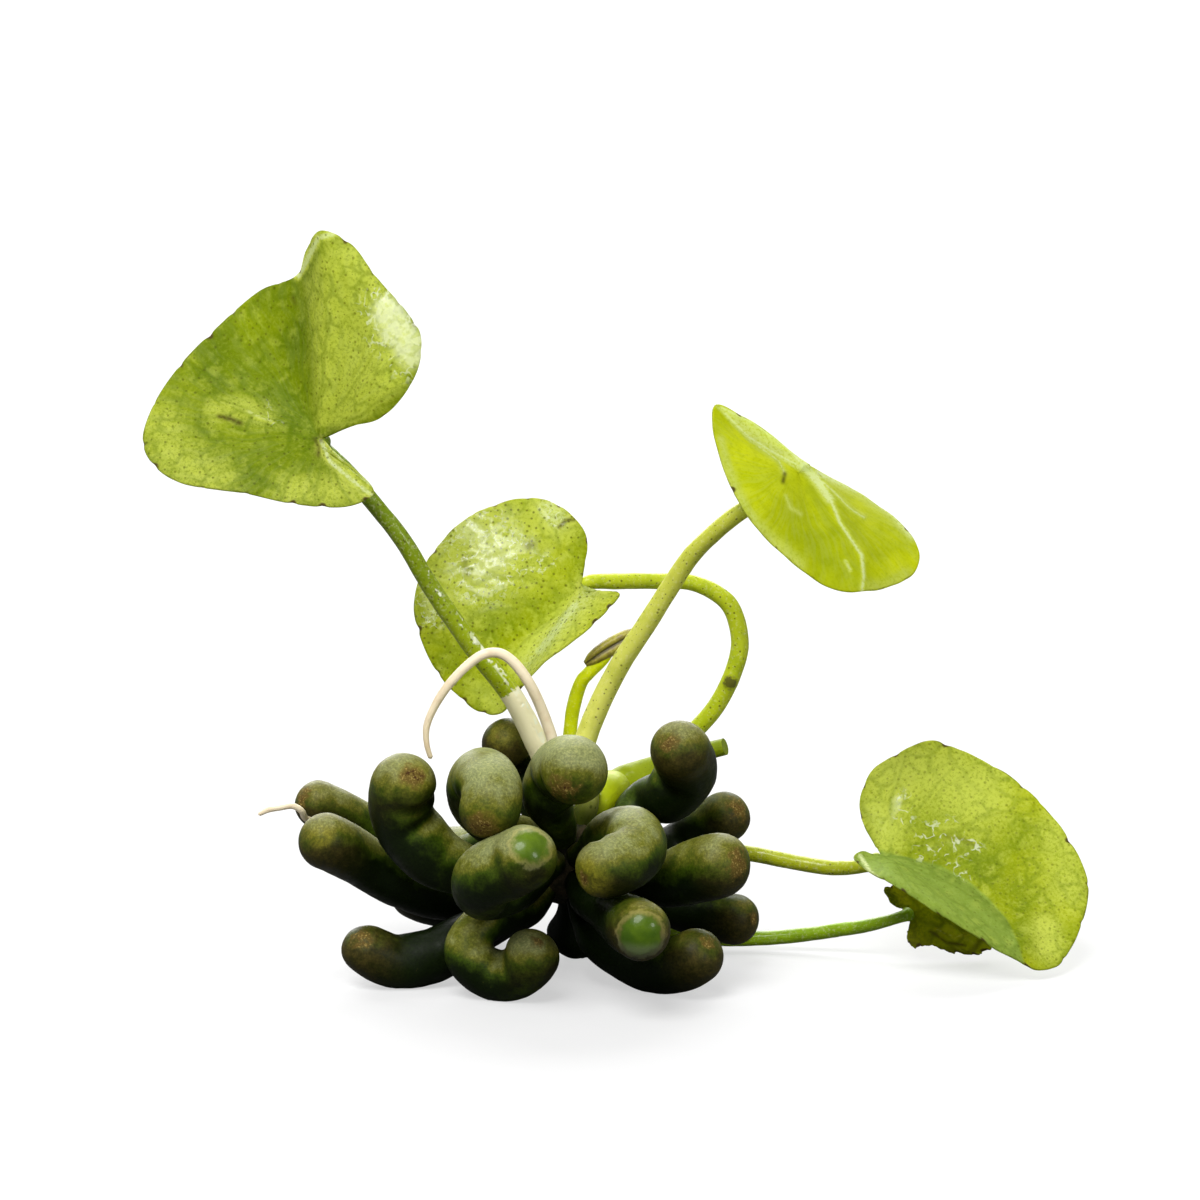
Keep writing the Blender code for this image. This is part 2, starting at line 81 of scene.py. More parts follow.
# The fewest rings of a tube, and how wide its closed end stays, as a share of its radius
FEWEST_RINGS = 8
END_WIDTH = 0.02

# How far apart the noise of two tubers and of two stalks is read
TUBER_SEEDS = 3.7
STALK_SEEDS = 11.3

# The skin is smoothed where a bend presses rings to between these shares of their spacing
PRESSED = (0.5, 0.1)

# A tip is left as it is: rings closer together than this share of the ring gap, and the last rings
TIP_SPACING = 0.6
TIP_RINGS = 12

# How a pressed area spreads along and around before it is smoothed, and how often and strongly it is smoothed
SPREAD_ROUNDS = 16
SPREAD_ALONG = 0.25
SPREAD_KEPT = 0.45
SPREAD_AROUND = 0.48
SMOOTHING_ROUNDS = 260
SMOOTHING_WEIGHT = 0.9

# A blade's rows crowd a little towards the margin, by this power
ROW_POWER = 0.9

# Powers of the way from stalk to margin: the higher, the closer to the margin a change keeps
DETAIL_POWER = 3
THINNING_POWER = 4
WAVE_POWER = 5
RAGGED_POWER = 8
CURL_POWER = 10
NICK_POWER = 24

# The margin's finer wave, and where waves fade out: near the notch, and between these lengths from the stalk
FINE_WAVE = 2.3
FINE_WAVE_SHARE = 0.6
WAVE_FADE = 0.06
WAVE_REACH = (3.0, 14.0)

# Nicks: their sizes, their spacing as a share of the gap, their width and its growth with size, their stain
NICK_SIZES = (0.35, 1.0)
NICK_GAPS = (0.6, 1.5)
NICK_WIDTH = 0.2
NICK_GROWTH = 0.35
NICK_STAIN = 0.4

# How fast the noise of a rotten margin and of the pebbles changes, for each millimetre
RAGGED_PACE = 0.9
PEBBLE_PACE = 0.75

# How much thinner a blade is at its margin, and how far its rim stands out, in steps between two rows
MARGIN_THINNING = 0.45
RIM_STEP = 0.25

# An outline point's numbers, and how far the underside's pattern is moved away from the upper side's
OUTLINE_NUMBERS = 5
UNDERSIDE_SHIFT = 200.0

COAT_ROUGHNESS = 0.1
SENSOR_WIDTH = 36.0

Colour = tuple[float, float, float]
Row = tuple[float, ...]
Socket = bpy.types.NodeSocket


class Tissue(Enum):
    """The record's material slots; stalks and blades name one each, which the build does not read."""

    CROWN = "crown_tissue"
    TUBER = "tuber_skin"
    GREEN_STALK = "green_stalk"
    PALE_STALK = "pale_stalk"
    BUD = "bud_tissue"
    ROOT = "cream_root"
    FRESH_LEAF = "fresh_leaf"
    OLD_LEAF = "old_leaf"


class Mark(Enum):
    """What a tuber shows at its tip; the value is the tube tree's input for its size."""

    SCAR = "Scar Size"
    SPOT = "Spot Size"
    WINDOW = "Window Size"


def smooth_step(values: np.ndarray, low: float, high: float) -> np.ndarray:
    """Rise smoothly from 0 at low to 1 at high.

    Args:
        values: Numbers of any shape.
        low: Where the step starts.
        high: Where the step ends.

    Returns:
        Numbers from 0 to 1, of the same shape.
    """
    share = np.clip((values - low) / (high - low), 0.0, 1.0)
    return share * share * (3.0 - 2.0 * share)


def smooth_curve(points: Sequence[Row], per_span: int = FINE_STEPS) -> np.ndarray:
    """Run a centripetal Catmull-Rom curve through points of any length.

    Args:
        points: The points, whose first three numbers are a place.
        per_span: Steps between two points.

    Returns:
        The curve's points as rows.
    """
    rows = np.asarray(points, dtype=float)
    rows = np.vstack([2 * rows[0] - rows[1], rows, 2 * rows[-1] - rows[-2]])
    gaps = np.maximum(np.linalg.norm(np.diff(rows, axis=0), axis=1), 1e-6) ** 0.5
    steps = np.arange(per_span)[:, None] / per_span
    spans = []
    for index in range(1, len(rows) - 2):
        first, second, third, fourth = rows[index - 1 : index + 3]
        t1 = gaps[index - 1]
        t2 = t1 + gaps[index]
        t3 = t2 + gaps[index + 1]
        t = t1 + (t2 - t1) * steps
        a1 = first + (second - first) * t / t1
        a2 = second + (third - second) * (t - t1) / (t2 - t1)
        a3 = third + (fourth - third) * (t - t2) / (t3 - t2)
        b1 = a1 + (a2 - a1) * t / t2
        b2 = a2 + (a3 - a2) * (t - t1) / (t3 - t1)
        spans.append(b1 + (b2 - b1) * (t - t1) / (t2 - t1))
    return np.vstack([*spans, rows[-2:-1]])


def walked_lengths(curve: np.ndarray) -> np.ndarray:
    """Measure how far along a curve each of its points is."""
    steps = np.linalg.norm(np.diff(curve[:, :3], axis=0), axis=1)
    return np.concatenate([[0.0], np.cumsum(steps)])


def at_lengths(curve: np.ndarray, stops: np.ndarray) -> np.ndarray:
    """Read a curve at lengths along it.

    Args:
        curve: The curve's points as rows.
        stops: Lengths from its start.

    Returns:
        One row for each stop.
    """
    lengths = walked_lengths(curve)
    return np.column_stack([np.interp(stops, lengths, column) for column in curve.T])


def blurred(rows: np.ndarray, width: float) -> np.ndarray:
    """Smooth rows along their order with a bell curve, keeping both ends in place.

    Args:
        rows: Values as rows.
        width: The bell's standard deviation in rows.

    Returns:
        The smoothed rows.
    """
    reach = int(3 * width)
    bell = np.exp(-0.5 * (np.arange(-reach, reach + 1) / width) ** 2)
    before = 2 * rows[0] - rows[reach:0:-1]
    after = 2 * rows[-1] - rows[-2 : -reach - 2 : -1]
    padded = np.vstack([before, rows, after])
    columns = [np.convolve(column, bell / bell.sum(), mode="valid") for column in padded.T]
    return np.column_stack(columns)


def crown_direction(azimuth: float, elevation: float) -> np.ndarray:
    """Point away from the crown: azimuth 0 to the front, 90 to the right, elevation 90 upwards."""
    around, up = math.radians(azimuth), math.radians(elevation)
    return np.array((math.sin(around) * math.cos(up), -math.cos(around) * math.cos(up), math.sin(up)))


def linked(name: str, data: Any) -> bpy.types.Object:
    """Put a mesh, lamp or camera into the scene as an object.

    Args:
        name: The object's name.
        data: The mesh, lamp or camera.

    Returns:
        The object.
    """
    made = bpy.data.objects.new(name, data)
    bpy.context.scene.collection.objects.link(made)
    return made


@dataclass
class Place:
    """Where the shapes' own millimetres lie in the frame."""

    shift: np.ndarray

    @classmethod
    def from_frame(cls) -> Place:
        """Find the place from the crown's box in the frame.

        Returns:
            The place.
        """
        low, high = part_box("crown")
        middle = (np.array(low) + np.array(high)) / 2
        return cls(middle - CROWN_CENTRE * MM)

    def metres(self, rows: Sequence[Row] | np.ndarray) -> np.ndarray:
        """Turn places in millimetres into the frame's metres."""
        return np.asarray(rows, dtype=float)[..., :3] * MM + self.shift


@dataclass(frozen=True)
class PhotoView:
    """The photograph's camera, in the shapes' own millimetres."""

    elevation: float = 10.0
    distance: float = 620.0
    width: float = 144.0
    centre: Row = (4.2, 0.0, 45.8)
    pixels: float = 1200.0

    @property
    def pixel_size(self) -> float:
        """Give a pixel's size in millimetres at the centre's distance."""
        return self.width / self.pixels

    def seen_at(self, places: np.ndarray) -> np.ndarray:
        """Find where places show in the photograph.

        Args:
            places: Places in millimetres.

        Returns:
            Their pixel positions, from the left and from the top.
        """
        tilt = math.radians(self.elevation)
        away = np.array((0.0, math.cos(tilt), -math.sin(tilt)))
        up = np.array((0.0, math.sin(tilt), math.cos(tilt)))
        offset = places - np.array(self.centre)
        near = self.distance / (self.distance + offset @ away)
        across = offset[..., 0] * near / self.pixel_size
        down = -(offset @ up) * near / self.pixel_size
        return np.stack([across, down], axis=-1) + self.pixels / 2


PHOTO = PhotoView()


class Wiring:
    """Adds nodes to one node tree and joins them."""

    def __init__(self, tree: bpy.types.NodeTree) -> None:
        """Work on a tree."""
        self.tree = tree

    def node(self, kind: str, inputs: dict[Any, Any] | None = None, **settings: Any) -> bpy.types.Node:
        """Add a node.

        Args:
            kind: Blender's name for the node type.
            inputs: Values, or sockets to join, by input name or number.
            **settings: The node's own settings.

        Returns:
            The new node.
        """
        made = self.tree.nodes.new(kind)
        for name, value in settings.items():
            setattr(made, name, value)
        for key, value in (inputs or {}).items():
            self.feed(made.inputs[key], value)
        return made

    def feed(self, socket: Socket, value: Any) -> None:
        """Join a socket to an input, or set the input's value.

        Args:
            socket: The input.
            value: A socket or a plain value.
        """
        if isinstance(value, Socket):
            self.tree.links.new(value, socket)
        else:
            socket.default_value = value

    def maths(self, operation: str, first: Any, second: Any = 0.0, clamp: bool = False) -> Socket:
        """Join two numbers by an operation of the Math node."""
        made = self.node("ShaderNodeMath", {0: first, 1: second}, operation=operation, use_clamp=clamp)
        return made.outputs[0]

    def plus(self, first: Any, second: Any, clamp: bool = False) -> Socket:
        """Add two numbers."""
        return self.maths("ADD", first, second, clamp)

    def minus(self, first: Any, second: Any, clamp: bool = False) -> Socket:
        """Take the second number from the first."""
        return self.maths("SUBTRACT", first, second, clamp)

    def times(self, first: Any, *factors: Any) -> Socket:
        """Multiply numbers, one after the other.

        Args:
            first: The first number.
            *factors: The others.

        Returns:
            The product's socket.
        """
        for factor in factors:
            first = self.maths("MULTIPLY", first, factor)
        return first

    def over(self, first: Any, second: Any) -> Socket:
        """Divide the first number by the second."""
        return self.maths("DIVIDE", first, second)

    def larger(self, first: Any, second: Any) -> Socket:
        """Give the larger of two numbers."""
        return self.maths("MAXIMUM", first, second)

    def step(self, value: Any, low: Any, high: Any, start: Any = 0.0, end: Any = 1.0) -> Socket:
        """Lead a number smoothly from start at low to end at high."""
        inputs = {0: value, 1: low, 2: high, 3: start, 4: end}
        return self.node("ShaderNodeMapRange", inputs, interpolation_type="SMOOTHSTEP").outputs[0]

    def scaled(self, vector: Any, scale: Any) -> Socket:
        """Multiply a vector by a number.

        Args:
            vector: The vector.
            scale: The number.

        Returns:
            The vector's socket.
        """
        made = self.node("ShaderNodeVectorMath", {0: vector}, operation="SCALE")
        self.feed(made.inputs["Scale"], scale)
        return made.outputs[0]

    def moved(self, vector: Any, offset: Any) -> Socket:
        """Add two vectors."""
        return self.node("ShaderNodeVectorMath", {0: vector, 1: offset}, operation="ADD").outputs[0]

    def noise_node(self, vector: Any, scale: Any, detail: float, rough: float, flat: bool) -> bpy.types.Node:
        """Add a noise texture, whose first output is a number and whose second is a colour."""
        inputs = {"Vector": vector, "Scale": scale, "Detail": detail, "Roughness": rough}
        return self.node("ShaderNodeTexNoise", inputs, noise_dimensions="2D" if flat else "3D")

    def noise(
        self, vector: Any, scale: Any, detail: float = 2.0, rough: float = 0.5, flat: bool = False
    ) -> Socket:
        """Give noise as a number."""
        return self.noise_node(vector, scale, detail, rough, flat).outputs[0]

    def bent(self, vector: Any, scale: float, detail: float, reach: float) -> Socket:
        """Shift a flat vector about by noise."""
        bend = self.noise_node(vector, scale, detail, 0.5, True).outputs[1]
        return self.moved(vector, self.scaled(bend, reach))

    def cells(self, vector: Any, scale: Any, random: float = 1.0, **settings: Any) -> Any:
        """Add flat cells, and give their outputs by name."""
        inputs = {"Vector": vector, "Scale": scale, "Randomness": random}
        return self.node("ShaderNodeTexVoronoi", inputs, voronoi_dimensions="2D", **settings).outputs

    def colours(self, share: Any, first: Any, second: Any, mode: str = "MIX") -> Socket:
        """Mix two colours.

        Args:
            share: How much of the second colour shows.
            first: The first colour.
            second: The second colour.
            mode: The Mix node's blend type.

        Returns:
            The mixed colour's socket.
        """
        made = self.node("ShaderNodeMix", data_type="RGBA", blend_type=mode)
        wanted = {"Factor_Float": share, "A_Color": first, "B_Color": second}
        for socket in made.inputs:
            if socket.identifier in wanted:
                value = wanted[socket.identifier]
                if isinstance(value, tuple) and len(value) == 3:
                    value = (*value, 1.0)
                self.feed(socket, value)
        return next(socket for socket in made.outputs if socket.identifier == "Result_Color")


def shader_group(name: str, numbers: dict[str, float], found: Sequence[str]) -> tuple[Wiring, Any, Any]:
    """Start a shader node group that turns a vector and some numbers into numbers.

    Args:
        name: The group's name.
        numbers: The starting value of each number that goes in.
        found: The names of the numbers that come out.

    Returns:
        The wiring of the new group, its inputs as sockets by name, and its output node's inputs by name.
    """
    tree = bpy.data.node_groups.new(name, "ShaderNodeTree")
    tree.interface.new_socket(name="Vector", in_out="INPUT", socket_type="NodeSocketVector")
    for label, value in numbers.items():
        socket = tree.interface.new_socket(name=label, in_out="INPUT", socket_type="NodeSocketFloat")
        socket.default_value = value
    for label in found:
        tree.interface.new_socket(name=label, in_out="OUTPUT", socket_type="NodeSocketFloat")
    wires = Wiring(tree)
    return wires, wires.node("NodeGroupInput").outputs, wires.node("NodeGroupOutput").inputs


def gland_dots_group() -> bpy.types.NodeTree:
    """Build the group of the tiny dark glands that dot leaves and stalks.

    Returns:
        A group that turns a flat place in millimetres into a mask of round dots.
    """
    wires, given, results = shader_group(
        "gland dots", {"Spacing": 1.2, "Size": 0.13, "Share": 0.7}, ("Mask",)
    )
    scale = wires.over(1.0, given["Spacing"])
    cells = wires.cells(given["Vector"], scale)
    chance = wires.node("ShaderNodeSeparateColor", {0: cells["Color"]}).outputs
    reach = wires.times(given["Size"], scale, wires.step(chance[1], 0.0, 1.0, 0.5, 1.4))
    dot = wires.step(cells["Distance"], wires.times(reach, 0.45), reach, 1.0, 0.0)
    kept = wires.maths("LESS_THAN", chance[0], given["Share"])
    wires.feed(results["Mask"], wires.times(dot, kept))
    return wires.tree


def net_veins_group() -> bpy.types.NodeTree:
    """Build the group of the fine net of veins and the pale patches between them.

    Returns:
        A group that turns a flat place in millimetres into masks of veins and patches.
    """
    wires, given, results = shader_group("net veins", {"Cell": 2.4, "Width": 0.14}, ("Veins", "Patches"))
    bent = wires.bent(given["Vector"], 0.5, 2.0, 1.8)
    scale = wires.over(1.0, given["Cell"])
    edge = wires.cells(bent, scale, 0.9, feature="DISTANCE_TO_EDGE")["Distance"]
    veins = wires.step(edge, 0.0, wires.times(given["Width"], scale), 1.0, 0.0)
    strength = wires.step(wires.noise(given["Vector"], 0.3, 1.0, flat=True), 0.35, 0.65, 0.25, 1.0)
    wires.feed(results["Veins"], wires.times(veins, strength))
    patches = wires.step(edge, 0.05, 0.35)
    wires.feed(results["Patches"], wires.times(patches, strength))
    return wires.tree


def palmate_veins_group() -> bpy.types.NodeTree:
    """Build the group of the main veins that fan out from the stalk.

    Returns:
        A group that turns a flat place around the stalk, in millimetres, into a mask of lines.
    """
    wires, given, results = shader_group(
        "palmate veins", {"Count": 13.0, "Width": 0.3, "Length": 26.0}, ("Mask", "Streaks")
    )
    bent = wires.moved(wires.bent(given["Vector"], 0.12, 1.0, 3.0), (-1.5, -1.5, 0.0))
    parts = wires.node("ShaderNodeSeparateXYZ", {0: bent}).outputs
    angle = wires.maths("ARCTAN2", parts[1], parts[0])
    far = wires.node("ShaderNodeVectorMath", {0: bent}, operation="LENGTH").outputs["Value"]
    pace = wires.over(given["Count"], 2 * math.pi)
    turns = wires.times(angle, pace)
    aside = wires.maths("ABSOLUTE", wires.minus(wires.maths("FRACT", turns), 0.5))
    gap = wires.over(wires.times(aside, far), pace)
    taper = wires.step(far, 0.0, given["Length"], 1.0, 0.15)
    fade = wires.step(far, 2.0, 7.0)
    line = wires.step(gap, 0.0, wires.times(given["Width"], taper), 1.0, 0.0)
    wires.feed(results["Mask"], wires.times(line, taper, fade))
    spun = {0: wires.times(angle, 16.0), 1: wires.times(far, 0.22)}
    grain = wires.noise(wires.node("ShaderNodeCombineXYZ", spun).outputs[0], 1.0, 3.0, 0.6, flat=True)
    wires.feed(results["Streaks"], wires.times(wires.step(grain, 0.42, 0.66), fade))
    return wires.tree


def wet_film_group() -> bpy.types.NodeTree:
    """Build the group of the wet film: pebbles, and crumpled glints where it is wet, which the finishes paint
    white.

    Returns:
        A group that turns a flat place in millimetres into a height, a roughness and a mask of glints to be
        painted white.
    """
    wires, given, results = shader_group(
        "wet film", {"Pebble": 1.2, "Wet": 0.0, "Wettest": 0.16, "Driest": 0.45},
        ("Height", "Roughness", "Glint")
    )
    scale = wires.over(1.0, given["Pebble"])
    pebbles = wires.cells(given["Vector"], scale)["Distance"]
    ripples = wires.noise(given["Vector"], wires.times(scale, 0.6), 3.0, 0.6, flat=True)
    height = wires.plus(wires.times(pebbles, -0.25), ripples)
    crumples = wires.noise(given["Vector"], wires.times(scale, 0.5), 2.0, 0.5, flat=True)
    ridges = wires.maths("ABSOLUTE", wires.minus(crumples, 0.5))
    wrinkles = wires.times(ridges, -6.0, given["Wet"])
    wires.feed(results["Height"], wires.plus(height, wrinkles))
    lines = wires.step(ridges, 0.008, 0.05, 0.95, 0.0)
    blots = wires.noise(given["Vector"], wires.times(scale, 0.8), 2.0, 0.5, flat=True)
    lines = wires.times(lines, wires.step(blots, 0.42, 0.58))
    veil = wires.times(wires.step(given["Wet"], 0.62, 1.12), wires.step(blots, 0.35, 0.6, 0.6, 1.15))
    shown = wires.plus(veil, wires.times(lines, wires.step(given["Wet"], 0.2, 0.6)), clamp=True)
    wires.feed(results["Glint"], shown)
    share = wires.minus(1.0, shown)
    mixed = wires.node("ShaderNodeMix", data_type="FLOAT")
    for number, value in ((0, share), (2, given["Wettest"]), (3, given["Driest"])):
        wires.feed(mixed.inputs[number], value)
    wires.feed(results["Roughness"], mixed.outputs[0])
    return wires.tree


def speckle_group() -> bpy.types.NodeTree:
    """Build the group of the fine grains on tuber skin.

    Returns:
        A group that turns a place in millimetres into a brightness around 1, a mask of grains and a height.
    """
    wires, given, results = shader_group(
        "skin speckle", {"Grain": 0.35, "Contrast": 0.6}, ("Brightness", "Mask", "Height")
    )
    scale = wires.over(1.0, given["Grain"])
    fine = wires.noise(given["Vector"], scale, 3.0, 0.75)
    spread = wires.step(fine, 0.3, 0.7, -1.0, 1.0)
    wires.feed(results["Brightness"], wires.plus(1.0, wires.times(spread, given["Contrast"])))
    wires.feed(results["Mask"], wires.step(fine, 0.53, 0.66))
    wires.feed(results["Height"], fine)
    return wires.tree


class Effects:
    """The shader groups that the finishes share, each built once."""

    def __init__(self) -> None:
        """Build every group."""
        self.dots = gland_dots_group()
        self.net = net_veins_group()
        self.palmate = palmate_veins_group()
        self.film = wet_film_group()
        self.speckle = speckle_group()


class Paint:
    """A material in the making: its wiring, its Principled shader and helpers for what the pieces carry."""

    def __init__(self, name: str, effects: Effects) -> None:
        """Start a material with a Principled shader on its surface.

        Args:
            name: The material's name.
            effects: The shared shader groups.
        """
        self.material = bpy.data.materials.new(name)
        self.material.use_nodes = True
        self.effects = effects
        self.wiring = Wiring(self.material.node_tree)
        nodes = self.material.node_tree.nodes
        self.shader = nodes["Principled BSDF"]
        self.output = nodes["Material Output"]
        self.colour: Any = (0.0, 0.0, 0.0)

    def attribute(self, name: str, as_vector: bool = False) -> Socket:
        """Read one of the piece's own attributes."""
        made = self.wiring.node("ShaderNodeAttribute", attribute_name=name)
        return made.outputs["Vector" if as_vector else "Fac"]

    def millimetres(self) -> Socket:
        """Read the place on the object, in millimetres."""
        place = self.wiring.node("ShaderNodeTexCoord").outputs["Object"]
        return self.wiring.scaled(place, 1.0 / MM)

    def facing(self) -> Socket:
        """Read the direction that the surface faces."""
        return self.wiring.node("ShaderNodeTexCoord").outputs["Normal"]

    def upward(self) -> Socket:
        """Read how far the surface faces upwards, from -1 to 1."""
        return self.wiring.node("ShaderNodeSeparateXYZ", {0: self.facing()}).outputs[2]

    def cover(self, share: Any, colour: Any, mode: str = "MIX") -> None:
        """Lay a colour over what is painted so far, as strongly as the share says."""
        self.colour = self.wiring.colours(share, self.colour, colour, mode)

    def effect(self, group: bpy.types.NodeTree, **inputs: Any) -> Any:
        """Place a shared group and give its outputs by name.

        Args:
            group: The group.
            **inputs: Values, or sockets to join, by input name.

        Returns:
            The group's outputs.
        """
        made = self.wiring.node("ShaderNodeGroup")
        made.node_tree = group
        for name, value in inputs.items():
            self.wiring.feed(made.inputs[name], value)
        return made.outputs

    def bump(self, height: Any, strength: float, depth: float) -> Socket:
        """Turn a height into a normal.

        Args:
            height: The height, from 0 to 1.
            strength: The Bump node's strength.
            depth: What a height of 1 stands for, in millimetres.

        Returns:
            The normal's socket.
        """
        inputs = {"Height": height, "Strength": strength, "Distance": depth * MM}
        return self.wiring.node("ShaderNodeBump", inputs).outputs[0]

    def glow_through(self, colour: Any, share: float) -> None:
        """Let light shine through the tissue: mix the Principled shader with a translucent one.

        Args:
            colour: The colour of the light that comes through.
            share: How much of it there is.
        """
        behind = self.wiring.node("ShaderNodeBsdfTranslucent", {"Color": colour})
        mixed = self.wiring.node(
            "ShaderNodeMixShader", {0: share, 1: self.shader.outputs[0], 2: behind.outputs[0]}
        )
        self.wiring.feed(self.output.inputs["Surface"], mixed.outputs[0])

    def finish(self, roughness: Any, normal: Any, coat: Any = 0.0, **constants: float) -> bpy.types.Material:
        """Feed the Principled shader and give the finished material.

        Args:
            roughness: The roughness, or its socket.
            normal: The normal's socket.
            coat: How strong the wet coat is.
            **constants: Values of further inputs, with _ for a space.

        Returns:
            The material.
        """
        self.wiring.feed(self.shader.inputs["Base Color"], self.colour)
        self.wiring.feed(self.shader.inputs["Roughness"], roughness)
        self.wiring.feed(self.shader.inputs["Coat Weight"], coat)
        self.shader.inputs["Coat Roughness"].default_value = COAT_ROUGHNESS
        self.wiring.feed(self.shader.inputs["Normal"], normal)
        for name, value in constants.items():
            self.shader.inputs[name.replace("_", " ")].default_value = value
        return self.material


@dataclass(frozen=True)
class TuberSkin:
    """Dark granular skin of a tuber with a brown tip scar or a bright green window, painted paler on top and
    darker towards the crown: painted light and shade.
    """

    deep: Colour = (0.004, 0.009, 0.0004)
    green: Colour = (0.033, 0.06, 0.0015)
    olive: Colour = (0.125, 0.13, 0.011)
    # Wax bloom, laid on the lightest, mostly upper parts as a painted highlight
    bloom_and_highlight: Colour = (0.26, 0.29, 0.12)
    brown: Colour = (0.1, 0.072, 0.014)
    scar_middle: Colour = (0.11, 0.068, 0.012)
    scar_light: Colour = (0.4, 0.29, 0.08)
    scar_dark: Colour = (0.045, 0.016, 0.004)
    spot: Colour = (0.22, 0.2, 0.014)
    gold: Colour = (0.46, 0.4, 0.12)
    window: Colour = (0.095, 0.165, 0.003)
    window_deep: Colour = (0.035, 0.08, 0.002)
    # Pale rim: a painted sheen on the downward-facing side of a window and its ring
    rim: Colour = (0.25, 0.29, 0.16)
    name: str = "tuber skin"

    def material(self, effects: Effects) -> bpy.types.Material:
        """Build the skin's material.

        Args:
            effects: The shared shader groups.

        Returns:
            The material.
        """
        paint = Paint(self.name, effects)
        wires = paint.wiring
        place = paint.millimetres()
        along = paint.attribute("along")
        tone_and_shade = paint.attribute("tone_and_shade")
        upward = paint.upward()
        broad = wires.noise(place, 0.2, 3.0, 0.6)
        middle = wires.noise(place, 0.9, 3.0, 0.65)
        grains = paint.effect(effects.speckle, Vector=place, Grain=0.3, Contrast=0.3)

        # How light the skin is: broad patches, tone, upper side, length and fine mottling, partly painted
        # light and shade
        # The tone is partly each tuber's own, and set low for the tubers that lie in shadow: painted shade
        light = wires.plus(broad, wires.times(wires.minus(tone_and_shade, 0.5), 0.45))
        # Painted light and shade: lighter where the skin faces up, darker where it faces down
        light = wires.plus(light, wires.step(upward, -0.5, 0.85, -0.44, 0.2))
        # Painted shade: darker towards the crown end, most on the darker-toned tubers
        light = wires.plus(
            light, wires.step(along, 0.25, 0.9, wires.step(tone_and_shade, 0.05, 0.5, -0.6, -0.08), 0.06)
        )
        light = wires.plus(light, wires.times(wires.minus(middle, 0.5), 0.26))
        paint.colour = self.deep
        paint.cover(wires.step(light, 0.16, 0.5), self.green)
        paint.cover(wires.step(light, 0.42, 0.68), self.olive)
        # Painted highlight: the lightest parts, mostly the upper sides, take the pale bloom-and-highlight
        # colour
        paint.cover(wires.step(light, 0.6, 0.92, 0.0, 0.75), self.bloom_and_highlight)
        # Brown towards the tip, olive spots, golden grains and the scar; the grains show only on the lighter
        # parts, partly painted light
        tip_cover = wires.times(wires.step(along, 0.7, 1.0), wires.step(middle, 0.3, 0.7, 0.3, 0.8))
        tip_cover = wires.times(tip_cover, wires.step(tone_and_shade, 0.2, 0.9, 0.65, 0.2))
        paint.cover(tip_cover, self.brown)
        spot = paint.attribute("spot")
        spotted = wires.times(wires.step(spot, 0.1, 0.8), wires.step(middle, 0.35, 0.6, 0.3, 0.75))
        paint.cover(spotted, self.spot)
        paint.cover(1.0, grains["Brightness"], mode="MULTIPLY")
        grains_where_lit = wires.times(grains["Mask"], wires.step(light, 0.45, 0.8, 0.0, 0.2))
        paint.cover(grains_where_lit, self.gold)
        scarred = self.scar(paint, middle, grains["Mask"])
        # The window and the ring around it, with a painted pale sheen on their downward-facing sides
        window = wires.plus(paint.attribute("window"), wires.times(middle, 0.45))
        pane = wires.step(window, 0.5, 0.72)
        ring = wires.times(wires.step(window, 0.38, 0.5), wires.minus(1.0, pane))
        ring = wires.times(ring, wires.step(paint.attribute("window"), 0.0, 0.2))
        glass = wires.colours(wires.step(broad, 0.3, 0.7), self.window_deep, self.window)
        # Painted sheen: the glass turns towards the pale rim colour where it faces down
        glass = wires.colours(wires.step(upward, -0.5, -0.05, 0.4, 0.0), glass, self.rim)
        # The ring: painted pale sheen where it faces down, golden collar where it faces up
        ring_sheen_and_collar = wires.colours(wires.step(upward, -0.45, 0.25), self.rim, self.gold)
        paint.cover(wires.times(ring, 0.28), ring_sheen_and_collar)
        paint.cover(wires.times(pane, 0.95), glass)

        # Gloss and relief
        roughness = wires.step(middle, 0.3, 0.7, 0.4, 0.58)
        roughness = wires.minus(roughness, wires.times(pane, 0.2))
        roughness = wires.plus(roughness, wires.times(scarred, 0.15))
        height = wires.plus(grains["Height"], wires.times(middle, 0.6))
        normal = paint.bump(height, 0.35, 0.08)
        return paint.finish(roughness, normal, wires.times(pane, 0.2), Specular_IOR_Level=0.12)

    def scar(self, paint: Paint, middle: Any, grains: Any) -> Any:
        """Paint the scar at the tip: brown, with light grains and a dark cracked core.

        Args:
            paint: The material in the making.
            middle: Noise that frays the scar's edge.
            grains: The mask of fine grains.

        Returns:
            How much of the scar shows.
        """
        wires = paint.wiring
        near = paint.attribute("scar")
        ragged = wires.plus(near, wires.times(wires.minus(middle, 0.5), 1.3))
        shown = wires.times(wires.step(ragged, 0.1, 0.6), wires.step(near, 0.0, 0.2))
        paint.cover(wires.times(shown, 0.9), self.scar_middle)
        light = wires.times(wires.step(ragged, 0.2, 0.6), grains)
        paint.cover(wires.times(light, 0.8), self.scar_light)
        core_noise = wires.noise(paint.millimetres(), 1.9, 2.0, 0.6)
        core = wires.times(wires.step(ragged, 0.5, 0.8), wires.step(core_noise, 0.52, 0.6))
        paint.cover(wires.times(core, 0.85), self.scar_dark)
        return shown


